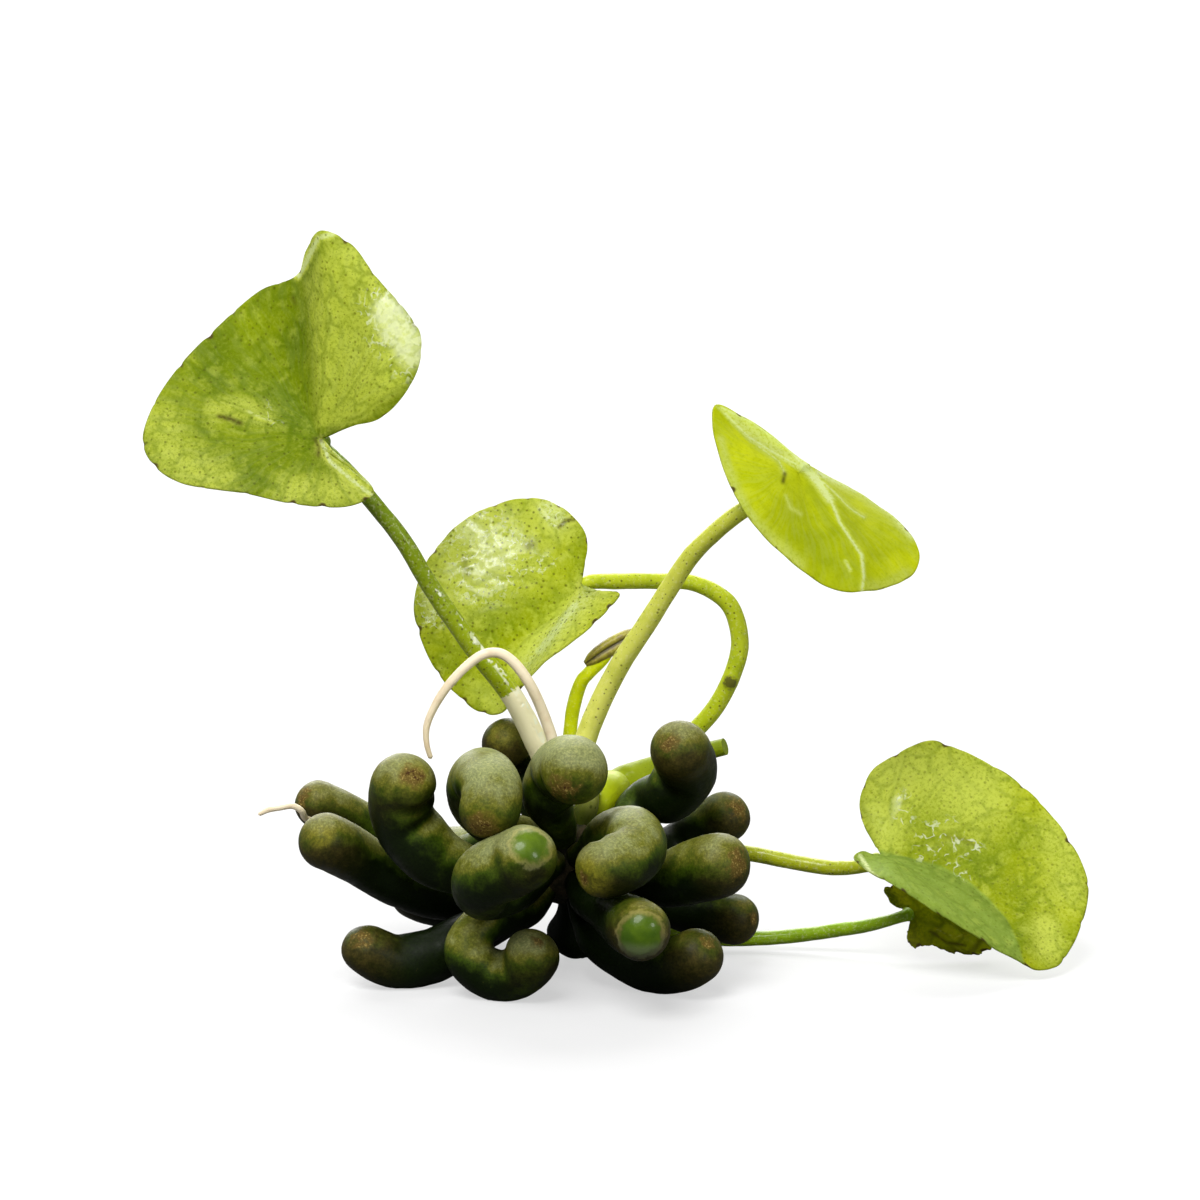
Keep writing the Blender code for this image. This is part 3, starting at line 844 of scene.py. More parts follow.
@dataclass(frozen=True)
class LeafTissue:
    """Thin wet leaf tissue that light shines through."""

    name: str
    bright: Colour = (0.5, 0.56, 0.004)
    green: Colour = (0.31, 0.4, 0.002)
    deep: Colour = (0.09, 0.17, 0.001)
    pale: Colour = (0.68, 0.74, 0.11)
    white: Colour = (0.8, 0.87, 0.45)
    painted_glint: Colour = (0.97, 1.0, 0.8)
    underside: Colour = (0.36, 0.45, 0.08)
    dot: Colour = (0.05, 0.055, 0.002)
    brown: Colour = (0.06, 0.035, 0.006)
    nick: Colour = (0.07, 0.03, 0.02)
    dots: float = 1.0
    dot_gap: float = 1.05
    patches: float = 0.45
    veins: float = 0.47
    streaks: float = 0.0
    pebble: float = 0.9
    relief: float = 0.22
    wettest: float = 0.14
    driest: float = 0.55
    glow: float = 0.45
    sunlit: Colour = (0.85, 0.92, 0.01)

    def material(self, effects: Effects) -> bpy.types.Material:
        """Build the leaf's material.

        Args:
            effects: The shared shader groups.

        Returns:
            The material.
        """
        paint = Paint(self.name, effects)
        wires = paint.wiring
        flat = paint.attribute("flat", as_vector=True)
        under = paint.attribute("under")
        wet = paint.attribute("wet")
        broad = wires.noise(flat, 0.13, 2.0, 0.55, flat=True)
        middle = wires.noise(flat, 0.6, 3.0, 0.6, flat=True)
        fine = wires.noise(flat, 2.4, 2.0, 0.7, flat=True)
        net = paint.effect(effects.net, Vector=flat, Cell=2.6, Width=0.55)
        palmate = paint.effect(effects.palmate, Vector=flat, Count=13.0, Width=0.6, Length=28.0)

        # Patches and strokes, then veins, dots and the margin's brown
        paint.colour = self.green
        paint.cover(wires.step(broad, 0.35, 0.65), self.bright)
        # Shade strokes: painted shade in valleys and creases and on the darker halves, and a few dark spots
        shaded = wires.times(paint.attribute("shade"), wires.step(middle, 0.25, 0.65, 0.8, 1.0))
        paint.cover(shaded, self.deep)
        # Pale strokes: pale patches and folds, and painted highlights and sheen where lobes and ridges catch
        # the light
        paled = wires.times(paint.attribute("pale"), wires.step(fine, 0.3, 0.6, 0.7, 1.0))
        paint.cover(wires.step(paled, 0.0, 0.5), self.pale)
        # Dull strokes: a strip painted in the underside colour, as painted sheen of a surface seen at a
        # grazing angle
        grazing_sheen = wires.times(paint.attribute("dull"), wires.step(fine, 0.3, 0.6, 0.8, 1.0))
        paint.cover(wires.larger(wires.times(under, 0.75), grazing_sheen), self.underside)
        paleness = wires.times(net["Patches"], wires.step(middle, 0.4, 0.65))
        paint.cover(wires.times(paleness, self.patches), self.pale)
        paint.cover(wires.step(fine, 0.44, 0.7, 0.0, 0.5 * self.patches), self.pale)
        paint.cover(wires.step(fine, 0.28, 0.5, 0.22, 0.0), self.deep)
        # The painted grazing sheen again, over the patterns
        paint.cover(wires.times(grazing_sheen, 0.5), self.underside)
        paint.cover(wires.times(palmate["Streaks"], self.streaks), self.white)
        lines = wires.larger(wires.times(net["Veins"], 0.9), palmate["Mask"])
        paint.cover(wires.times(lines, self.veins), self.deep)
        # The strongest pale strokes turn white: painted glare
        paint.cover(wires.step(paled, 0.45, 1.0), self.white)
        if self.dots:
            dots = paint.effect(effects.dots, Vector=flat, Spacing=self.dot_gap, Size=0.16, Share=0.75)
            paint.cover(wires.times(dots["Mask"], 0.6 * self.dots), self.dot)
        browned = wires.times(paint.attribute("brown"), wires.step(fine, 0.3, 0.5, 0.5, 1.0))
        paint.cover(browned, self.brown)
        edge = wires.plus(paint.attribute("edge"), wires.step(middle, 0.45, 0.6, 0.3, 0.0))
        paint.cover(wires.step(edge, 0.02, 0.2, 0.55, 0.0), self.brown)
        paint.cover(wires.step(paint.attribute("nick"), 0.25, 0.65), self.nick)

        # The wet film with its painted white glints, its relief, and the light that comes through
        film = paint.effect(
            effects.film, Vector=flat, Pebble=self.pebble, Wet=wet, Wettest=self.wettest, Driest=self.driest
        )
        # Painted glints: near-white laid over the colour where the film's glint mask shows
        paint.cover(wires.times(film["Glint"], 0.75), self.painted_glint)
        height = wires.plus(film["Height"], wires.times(lines, -0.35))
        normal = paint.bump(height, self.relief, 0.35)
        through = wires.colours(0.4, paint.colour, self.sunlit)
        paint.glow_through(through, self.glow)
        coat = wires.times(wires.step(wet, 0.1, 0.8), 0.7)
        return paint.finish(film["Roughness"], normal, coat, Specular_IOR_Level=0.12)


@dataclass(frozen=True)
class StalkTissue:
    """Smooth watery stalk, dotted, sometimes bleached towards its foot, with painted shade by the crown and
    painted glints.
    """

    name: str
    tip: Colour = (0.4, 0.52, 0.003)
    foot: Colour = (0.42, 0.52, 0.004)
    streak: Colour = (0.2, 0.3, 0.001)
    dot: Colour = (0.06, 0.05, 0.006)
    bleached: Colour = (0.98, 0.93, 0.62)
    crown_shade: Colour = (0.03, 0.05, 0.002)
    dots: float = 0.7
    pebble: float = 1.1
    relief: float = 0.3
    wetness: float = 0.35
    driest: float = 0.45
    glow: float = 0.06
    glint: float = 0.0
    wounded: Colour = (0.06, 0.045, 0.015)
    painted_glint: Colour = (0.97, 1.0, 0.8)
    lit_from: Row = (0.62, -0.72, 0.31)

    def material(self, effects: Effects) -> bpy.types.Material:
        """Build the stalk's material.

        Args:
            effects: The shared shader groups.

        Returns:
            The material.
        """
        paint = Paint(self.name, effects)
        wires = paint.wiring
        place = paint.millimetres()
        flat = paint.attribute("flat", as_vector=True)
        middle = wires.noise(place, 0.5, 2.0, 0.6)
        fine = wires.noise(place, 2.6, 2.0, 0.6)
        paint.colour = self.foot
        paint.cover(wires.step(paint.attribute("along"), 0.05, 0.9), self.tip)
        paint.cover(wires.step(middle, 0.42, 0.68, 0.0, 0.45), self.streak)
        paint.cover(wires.step(fine, 0.5, 0.75, 0.0, 0.2), self.bleached)
        if self.dots:
            dots = paint.effect(effects.dots, Vector=flat, Spacing=0.95, Size=0.14, Share=0.8)
            paint.cover(wires.times(dots["Mask"], self.dots), self.dot)
        frayed = wires.plus(paint.attribute("bleach"), wires.step(fine, 0.3, 0.7, -0.15, 0.15))
        paint.cover(wires.step(frayed, 0.3, 0.7), self.bleached)
        # Painted shade: darker where the stalk leaves the crown among the tubers
        paint.cover(wires.step(paint.attribute("along"), 0.03, 0.15, 0.95, 0.0), self.crown_shade)
        wound = paint.attribute("scar")
        hurt = wires.step(wires.plus(wound, wires.times(fine, 0.7)), 0.6, 1.0)
        hurt = wires.times(hurt, wires.step(wound, 0.0, 0.2, 0.0, 0.85))
        paint.cover(hurt, self.wounded)

        # The wet film, with painted white glints along the side that faces the light from lit_from
        wet = wires.step(wires.noise(flat, 0.25, 2.0, 0.6, flat=True), 0.4, 0.6, 0.1, self.wetness)
        lit = wires.node(
            "ShaderNodeVectorMath", {0: paint.facing(), 1: self.lit_from}, operation="DOT_PRODUCT"
        ).outputs["Value"]
        glint_side = wires.times(wires.step(lit, 0.84, 0.98), wires.step(middle, 0.44, 0.54, 0.0, 1.2))
        glint_side = wires.times(glint_side, wires.step(paint.attribute("along"), 0.45, 0.8, 1.0, 0.2))
        film = paint.effect(
            effects.film, Vector=flat, Pebble=self.pebble, Driest=self.driest,
            Wet=wires.times(glint_side, self.glint),
        )
        # Painted glints: near-white where the film's glint mask shows on the lit side
        paint.cover(wires.times(film["Glint"], 0.8), self.painted_glint)
        normal = paint.bump(film["Height"], self.relief, 0.3)
        paint.glow_through(paint.colour, self.glow)
        return paint.finish(film["Roughness"], normal, wet, Specular_IOR_Level=0.15)


@dataclass(frozen=True)
class RootTissue:
    """Cream root, slightly see-through."""

    cream: Colour = (0.92, 0.8, 0.57)
    tan: Colour = (0.76, 0.58, 0.36)
    name: str = "cream root"

    def material(self, effects: Effects) -> bpy.types.Material:
        """Build the root's material.

        Args:
            effects: The shared shader groups.

        Returns:
            The material.
        """
        paint = Paint(self.name, effects)
        wires = paint.wiring
        place = paint.millimetres()
        along = paint.attribute("along")
        middle = wires.noise(place, 0.6, 3.0, 0.6)
        fine = wires.noise(place, 3.5, 3.0, 0.65)
        share = wires.plus(wires.step(middle, 0.42, 0.7, 0.0, 0.55), wires.step(along, 0.7, 1.0, 0.0, 0.35))
        paint.colour = self.cream
        paint.cover(share, self.tan)
        roughness = wires.step(fine, 0.3, 0.7, 0.3, 0.5)
        normal = paint.bump(fine, 0.25, 0.08)
        paint.glow_through(paint.colour, 0.05)
        return paint.finish(roughness, normal, Specular_IOR_Level=0.35)


@dataclass(frozen=True)
class BudTissue:
    """Olive-brown skin of the rolled young leaf."""

    olive: Colour = (0.36, 0.32, 0.03)
    brown: Colour = (0.2, 0.15, 0.03)
    pale: Colour = (0.6, 0.55, 0.16)
    groove_shade: Colour = (0.03, 0.025, 0.008)
    name: str = "rolled leaf"

    def material(self, effects: Effects) -> bpy.types.Material:
        """Build the rolled leaf's material.

        Args:
            effects: The shared shader groups.

        Returns:
            The material.
        """
        paint = Paint(self.name, effects)
        wires = paint.wiring
        place = paint.millimetres()
        groove = paint.attribute("groove")
        middle = wires.noise(place, 0.9, 3.0, 0.6)
        fine = wires.noise(place, 4.0, 3.0, 0.6)
        paint.colour = self.olive
        paint.cover(wires.step(middle, 0.35, 0.65), self.brown)
        paint.cover(wires.step(fine, 0.5, 0.75, 0.0, 0.4), self.pale)
        # Near-black along the groove where the two rolls meet: painted shade in the groove
        paint.cover(wires.step(groove, 0.3, 1.0, 0.0, 0.85), self.groove_shade)
        normal = paint.bump(fine, 0.3, 0.1)
        return paint.finish(wires.step(fine, 0.3, 0.7, 0.35, 0.55), normal, Specular_IOR_Level=0.45)


@dataclass(frozen=True)
class CrownTissue:
    """Dull brown-green of the crown between the tubers."""

    dark: Colour = (0.02, 0.022, 0.008)
    brown: Colour = (0.06, 0.045, 0.02)
    grain: Colour = (0.14, 0.12, 0.06)
    name: str = "crown tissue"

    def material(self, effects: Effects) -> bpy.types.Material:
        """Build the crown's material.

        Args:
            effects: The shared shader groups.

        Returns:
            The material.
        """
        paint = Paint(self.name, effects)
        wires = paint.wiring
        place = paint.millimetres()
        middle = wires.noise(place, 0.6, 4.0, 0.6)
        grains = paint.effect(effects.speckle, Vector=place, Grain=0.5)
        paint.colour = self.dark
        paint.cover(wires.step(middle, 0.35, 0.65), self.brown)
        paint.cover(wires.times(grains["Mask"], 0.3), self.grain)
        normal = paint.bump(grains["Height"], 0.5, 0.2)
        return paint.finish(wires.step(middle, 0.3, 0.7, 0.6, 0.8), normal, Specular_IOR_Level=0.2)


def tube_tree() -> bpy.types.GeometryNodeTree:
    """Build the tree that grows a tuber, stalk or root along its centreline.

    The centreline is a mesh of edges whose points carry their girth. The tree sweeps a circle along it, makes
    the surface uneven, sinks it at a mark and stores how strong the mark is.

    Returns:
        The Geometry Nodes tree.
    """
    tree = bpy.data.node_groups.new("grown tube", "GeometryNodeTree")
    tree.interface.new_socket(name="Centreline", in_out="INPUT", socket_type="NodeSocketGeometry")
    for kind, labels in (
        ("Int", ("Sides",)),
        ("Float", ("Lump Size", "Lump Height", "Grain Size", "Grain Height", "Seed", "Pit", "Tone")),
        ("Float", [mark.value for mark in Mark]),
        ("Vector", ("Mark Centre",)),
        ("Material", ("Skin",)),
    ):
        for label in labels:
            tree.interface.new_socket(name=label, in_out="INPUT", socket_type="NodeSocket" + kind)
    tree.interface.new_socket(name="Tube", in_out="OUTPUT", socket_type="NodeSocketGeometry")
    wires = Wiring(tree)
    given = wires.node("NodeGroupInput").outputs

    line = wires.node("GeometryNodeMeshToCurve", {"Mesh": given["Centreline"]}).outputs[0]
    girth = wires.node("GeometryNodeInputNamedAttribute", {"Name": "girth"}, data_type="FLOAT").outputs[0]
    inputs = {"Resolution": given["Sides"], "Radius": 1.0}
    circle = wires.node("GeometryNodeCurvePrimitiveCircle", inputs).outputs[0]
    inputs = {"Curve": line, "Profile Curve": circle, "Scale": girth, "Fill Caps": True}
    swept = wires.node("GeometryNodeCurveToMesh", inputs)

    place = wires.node("GeometryNodeInputPosition").outputs[0]
    normal = wires.node("GeometryNodeInputNormal").outputs[0]

    def unevenness(size: Any, height: Any) -> Socket:
        """Give a height over the surface, from minus to plus the given one.

        Args:
            size: How wide a lump is.
            height: How high it is.

        Returns:
            The height's socket.
        """
        scale = wires.over(1.0, wires.larger(size, 1e-6))
        inputs = {"Vector": place, "W": given["Seed"], "Scale": scale, "Detail": 2.0}
        waves = wires.node("ShaderNodeTexNoise", inputs, noise_dimensions="4D").outputs[0]
        return wires.times(wires.minus(waves, 0.5), 3.0, height)

    def nearness(size: Any) -> Socket:
        """Give 1 at the mark's centre and 0 from its edge outwards.

        Args:
            size: The mark's radius.

        Returns:
            The nearness's socket.
        """
        gap = wires.node("ShaderNodeVectorMath", {0: place, 1: given["Mark Centre"]}, operation="DISTANCE")
        share = wires.over(gap.outputs["Value"], wires.larger(size, 1e-6))
        return wires.minus(1.0, share, clamp=True)

    scar = nearness(given["Scar Size"])
    spot = nearness(given["Spot Size"])
    window = nearness(given["Window Size"])
    height = wires.plus(
        unevenness(given["Lump Size"], given["Lump Height"]),
        unevenness(given["Grain Size"], given["Grain Height"]),
    )
    pit = wires.times(wires.larger(scar, window), given["Pit"])
    height = wires.minus(height, pit)
    shape = swept.outputs[0]
    for label, value in (("scar", scar), ("spot", spot), ("window", window), ("tone_and_shade", given["Tone"])):
        inputs = {"Geometry": shape, "Name": label, "Value": value}
        stored = wires.node("GeometryNodeStoreNamedAttribute", inputs, data_type="FLOAT", domain="POINT")
        shape = stored.outputs[0]
    offset = wires.scaled(normal, height)
    shape = wires.node("GeometryNodeSetPosition", {"Geometry": shape, "Offset": offset}).outputs[0]
    shape = wires.node("GeometryNodeSetShadeSmooth", {0: shape}).outputs[0]
    shape = wires.node("GeometryNodeRealizeInstances", {0: shape}).outputs[0]
    shape = wires.node("GeometryNodeSetMaterial", {0: shape, "Material": given["Skin"]}).outputs[0]
    wires.node("NodeGroupOutput", {0: shape})
    return tree


def round_off(rings: np.ndarray, stops: np.ndarray) -> None:
    """Round the end of a tube off like half a ball.

    Args:
        rings: The tube's rings, whose radii are changed.
        stops: How far along the tube each of them is.
    """
    left = np.clip((stops[-1] - stops) / rings[-1, 3], 0.0, 1.0)
    rings[:, 3] *= np.sqrt(np.maximum(1.0 - (1.0 - left) ** 2, END_WIDTH**2))


@dataclass(frozen=True)
class Relief:
    """How a grown tube's surface departs from round, in millimetres."""

    sides: int = 56
    lump_size: float = 4.0
    lump_height: float = 0.1
    grain_size: float = 0.7
    grain_height: float = 0.012
    ring_gap: float = 0.35


@dataclass(frozen=True)
class Spot:
    """A mark on a grown tube."""

    kind: Mark
    centre: Row
    size: float
    pit: float = 0.12
    halo: float = 0.0


@dataclass
class Greenhouse:
    """What every piece is grown with: its place, the tube tree, the shared groups and the materials."""

    place: Place
    tree: bpy.types.GeometryNodeTree
    materials: dict[str, bpy.types.Material]

    def grow(
        self,
        name: str,
        rings: np.ndarray,
        extras: dict[str, np.ndarray],
        relief: Relief,
        skin: str,
        seed: float,
        spot: Spot | None = None,
        tone_and_shade: float = 0.5,
    ) -> bpy.types.Object:
        """Grow a tube along rings of (x, y, z, radius) in millimetres.

        Args:
            name: The piece's name.
            rings: The centreline's points and radii.
            extras: Further numbers for each ring, by attribute name.
            relief: The surface's unevenness.
            skin: The material's name.
            seed: Where the noise is read, so that no two pieces are alike.
            spot: A mark, if the piece has one.
            tone_and_shade: How light the skin is: about 0 is dark and 1 pale; low on tubers in shadow, as
                painted shade.

        Returns:
            The piece as a plain mesh object.
        """
        line = bpy.data.meshes.new(name + "_line")
        places = self.place.metres(rings)
        line.from_pydata(places.tolist(), [(i, i + 1) for i in range(len(rings) - 1)], [])
        for label, values in {"girth": rings[:, 3] * MM, **extras}.items():
            set_numbers(line, label, values)
        carrier = linked(name + "_line", line)
        modifier = carrier.modifiers.new("grow", "NODES")
        modifier.node_group = self.tree
        settings: dict[str, Any] = {
            "Sides": relief.sides,
            "Lump Size": relief.lump_size * MM,
            "Lump Height": relief.lump_height * MM,
            "Grain Size": relief.grain_size * MM,
            "Grain Height": relief.grain_height * MM,
            "Seed": seed,
            "Tone": tone_and_shade,
            "Skin": self.materials[skin],
        }
        if spot:
            settings[Mark.SPOT.value] = spot.halo * MM
            settings[spot.kind.value] = spot.size * MM
            settings["Mark Centre"] = tuple(self.place.metres([spot.centre])[0])
            settings["Pit"] = spot.pit * MM
        for item in self.tree.interface.items_tree:
            if item.in_out == "INPUT" and item.name in settings:
                modifier[item.identifier] = settings[item.name]
        evaluated = carrier.evaluated_get(bpy.context.evaluated_depsgraph_get())
        mesh = bpy.data.meshes.new_from_object(evaluated)
        mesh.name = name
        bpy.data.objects.remove(carrier)
        bpy.data.meshes.remove(line)
        piece = linked(name, mesh)
        self.unroll(mesh, len(rings), relief)
        face_outwards(mesh)
        return piece

    def unroll(self, mesh: bpy.types.Mesh, rings: int, relief: Relief) -> None:
        """Smooth the skin where a tight bend pushes rings together, and store every corner's unrolled place.

        Args:
            mesh: The grown tube, whose corners run ring by ring.
            rings: How many rings it has.
            relief: Its sides and ring gap.
        """
        places = np.empty(len(mesh.vertices) * 3)
        mesh.vertices.foreach_get("co", places)
        grid = places.reshape(rings, relief.sides, 3) / MM
        middle = grid.mean(axis=1)
        steps = np.diff(middle, axis=0)
        lengths = np.linalg.norm(steps, axis=1)
        ahead = steps / np.maximum(lengths, 1e-9)[:, None]
        moved = np.einsum("rsk,rk->rs", np.diff(grid, axis=0), ahead)
        pressed = smooth_step(moved / np.maximum(lengths, 1e-9)[:, None], *PRESSED)
        pressed[lengths < TIP_SPACING * relief.ring_gap] = 0.0
        mask = np.zeros((rings, relief.sides))
        mask[1:] = np.maximum(mask[1:], pressed)
        mask[:-1] = np.maximum(mask[:-1], pressed)
        for _ in range(SPREAD_ROUNDS):
            spread = SPREAD_ALONG * (mask[2:] + mask[:-2]) + SPREAD_KEPT * mask[1:-1]
            mask[1:-1] = np.maximum(mask[1:-1], spread)
            mask = np.maximum(mask, SPREAD_AROUND * (np.roll(mask, 1, axis=1) + np.roll(mask, -1, axis=1)))
        mask[-TIP_RINGS:] = 0.0
        weight = np.clip(mask, 0.0, 1.0)[..., None] * SMOOTHING_WEIGHT
        for _ in range(SMOOTHING_ROUNDS):
            near = grid.copy()
            near[1:-1] = 0.25 * (
                grid[2:] + grid[:-2] + np.roll(grid, 1, axis=1)[1:-1] + np.roll(grid, -1, axis=1)[1:-1]
            )
            grid = grid + (near - grid) * weight
        grid[..., 2] = np.maximum(grid[..., 2], 0.0)
        mesh.vertices.foreach_set("co", (grid * MM).ravel())
        girth = np.median(np.linalg.norm(grid - grid.mean(axis=1)[:, None], axis=2))
        along = np.concatenate([[0.0], np.cumsum(lengths)])
        around = np.arange(relief.sides) * (2 * math.pi * girth / relief.sides)
        flat = np.zeros((rings, relief.sides, 3), dtype=np.float32)
        flat[..., 0] = along[:, None]
        flat[..., 1] = around[None, :]
        mesh.attributes.new("flat", "FLOAT_VECTOR", "POINT").data.foreach_set("vector", flat.ravel())

    def hand_over(self, piece: bpy.types.Object, nodes: Sequence[str]) -> None:
        """Put a finished piece on the body, in place of its nodes.

        Args:
            piece: The finished piece.
            nodes: The nodes that it stands for.
        """
        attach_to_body(piece, BODY)
        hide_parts(*nodes)
        LOG.info("%s: %d faces", piece.name, len(piece.data.polygons))


def face_outwards(mesh: bpy.types.Mesh) -> None:
    """Turn a closed mesh's faces outwards.

    Args:
        mesh: The mesh, which is changed.
    """
    shape = bmesh.new()
    shape.from_mesh(mesh)
    bmesh.ops.recalc_face_normals(shape, faces=shape.faces)
    shape.to_mesh(mesh)
    shape.free()


def mesh_piece(
    name: str, places: np.ndarray, faces: Sequence[Sequence[int]], material: bpy.types.Material
) -> bpy.types.Object:
    """Make a smooth-shaded piece from places in metres.

    Args:
        name: The piece's name.
        places: One row for each corner.
        faces: The faces as corner numbers.
        material: Its material.

    Returns:
        The piece.
    """
    mesh = bpy.data.meshes.new(name)
    mesh.from_pydata(places.tolist(), [], faces)
    mesh.materials.append(material)
    mesh.shade_smooth()
    piece = linked(name, mesh)
    return piece


def set_numbers(mesh: bpy.types.Mesh, label: str, values: np.ndarray) -> None:
    """Store a number for each corner of a mesh."""
    mesh.attributes.new(label, "FLOAT", "POINT").data.foreach_set("value", values.astype(np.float32).ravel())


@dataclass(frozen=True)
class Centreline:
    """A tube's centreline: where it leaves the crown in degrees, and its points as (x, y, z, radius)."""

    azimuth: float
    elevation: float
    points: tuple[Row, ...]

    def from_crown(self, first_radius: float, second_radius: float) -> tuple[Row, ...]:
        """Lead the centreline straight out of the crown.

        Args:
            first_radius: The radius inside the crown.
            second_radius: The radius just outside it.

        Returns:
            The whole centreline's points.
        """
        direction = crown_direction(self.azimuth, self.elevation)
        start = CROWN_CENTRE + direction * (CROWN_RADIUS - NECK_DEPTH)
        shoulder = CROWN_CENTRE + direction * (CROWN_RADIUS + NECK_REACH)
        return ((*start, first_radius), (*shoulder, second_radius), *self.points)


@dataclass(frozen=True)
class Tuber:
    """One banana-shaped tuber."""

    node: str
    line: Centreline
    tone_and_shade: float = 0.5
    spot: Spot | None = None
    neck: float = 1.6
    shoulder: float = 2.0
    bluntness: float = 2.2
    tip_rings: int = 16
    relief: Relief = field(default_factory=Relief)

    def rings(self) -> np.ndarray:
        """Space the rings along the body, closer together over the rounded tip.

        Returns:
            The rings as (x, y, z, radius).
        """
        curve = smooth_curve(self.line.from_crown(self.neck, self.shoulder))
        length = walked_lengths(curve)[-1]
        tip = curve[-1, 3]
        body = np.linspace(0.0, length - tip, max(FEWEST_RINGS, round((length - tip) / self.relief.ring_gap)))
        turn = np.linspace(0.0, math.pi / 2, self.tip_rings + 1)[1:]
        tail = length - tip + tip * np.sin(turn)
        rings = at_lengths(curve, np.concatenate([body, tail]))
        share = np.sin(turn)
        rings[len(body) :, 3] *= np.maximum(1.0 - share**self.bluntness, 0.0) ** (1.0 / self.bluntness)
        rings[-1, 3] = END_WIDTH * tip
        return rings

    def build(self, house: Greenhouse, number: int) -> bpy.types.Object:
        """Grow the tuber.

        Args:
            house: What the pieces are grown with.
            number: Its place in the row of tubers.

        Returns:
            The tuber.
        """
        rings = self.rings()
        along = walked_lengths(rings) / walked_lengths(rings)[-1]
        piece = house.grow(
            self.node + "_skin", rings, {"along": along}, self.relief, "tuber skin", TUBER_SEEDS * number,
            self.spot, self.tone_and_shade,
        )
        house.hand_over(piece, [self.node])
        return piece


@dataclass(frozen=True)
class Stalk:
    """A leaf stalk, shoot, cut stalk or root that leaves the crown."""

    node: str
    line: Centreline
    finish: str
    tissue: Tissue
    join: Row | None = None
    flare: float = 1.25
    flare_at: float = 0.6
    join_width: float = 0.45
    bleach_below: float | None = None
    bleach_fade: float = 0.5
    spot: Spot | None = None
    cut: bool = False
    relief: Relief = field(
        default_factory=lambda: Relief(
            sides=32, lump_size=2.5, lump_height=0.05, grain_size=0.6, grain_height=0.01, ring_gap=0.3
        )
    )

    def rings(self) -> np.ndarray:
        """Space the rings, with a flare where the stalk meets its blade and a rounded end elsewhere.

        Returns:
            The rings as (x, y, z, radius).
        """
        points = list(self.line.from_crown(self.line.points[0][3], self.line.points[0][3]))
        if self.join:
            join = np.array(self.join)
            last = np.array(points[-1][:3])
            radius = points[-1][3]
            points.append((*(last + (join - last) * self.flare_at), radius * self.flare))
            points.append((*join, radius * self.join_width))
        curve = smooth_curve(points)
        length = walked_lengths(curve)[-1]
        stops = np.linspace(0.0, length, max(FEWEST_RINGS, round(length / self.relief.ring_gap)))
        rings = at_lengths(curve, stops)
        if not self.join and not self.cut:
            round_off(rings, stops)
        return rings

    def build(self, house: Greenhouse, number: int) -> bpy.types.Object:
        """Grow the stalk.

        Args:
            house: What the pieces are grown with.
            number: Its place in the row of stalks.

        Returns:
            The stalk.
        """
        rings = self.rings()
        along = walked_lengths(rings) / walked_lengths(rings)[-1]
        bleach = np.zeros(len(rings))
        if self.bleach_below is not None:
            bleach = smooth_step(
                rings[:, 2], self.bleach_below + self.bleach_fade, self.bleach_below - self.bleach_fade
            )
        piece = house.grow(
            self.node + "_skin", rings, {"along": along, "bleach": bleach}, self.relief, self.finish,
            STALK_SEEDS * number, self.spot,
        )
        house.hand_over(piece, [self.node])
        return piece


@dataclass(frozen=True)
class SmallRoot:
    """The thin root that grows out of a tuber's side."""

    node: str
    points: tuple[Row, ...]
    seed: float = 5.1
    relief: Relief = field(
        default_factory=lambda: Relief(
            sides=20, lump_size=1.2, lump_height=0.02, grain_size=0.4, grain_height=0.006, ring_gap=0.2
        )
    )

    def build(self, house: Greenhouse) -> bpy.types.Object:
        """Grow the root.

        Args:
            house: What the pieces are grown with.

        Returns:
            The root.
        """
        curve = smooth_curve(self.points)
        length = walked_lengths(curve)[-1]
        stops = np.linspace(0.0, length, round(length / self.relief.ring_gap))
        rings = at_lengths(curve, stops)
        round_off(rings, stops)
        piece = house.grow(
            self.node + "_skin", rings, {"along": stops / length}, self.relief, "cream root", self.seed
        )
        house.hand_over(piece, [self.node])
        return piece


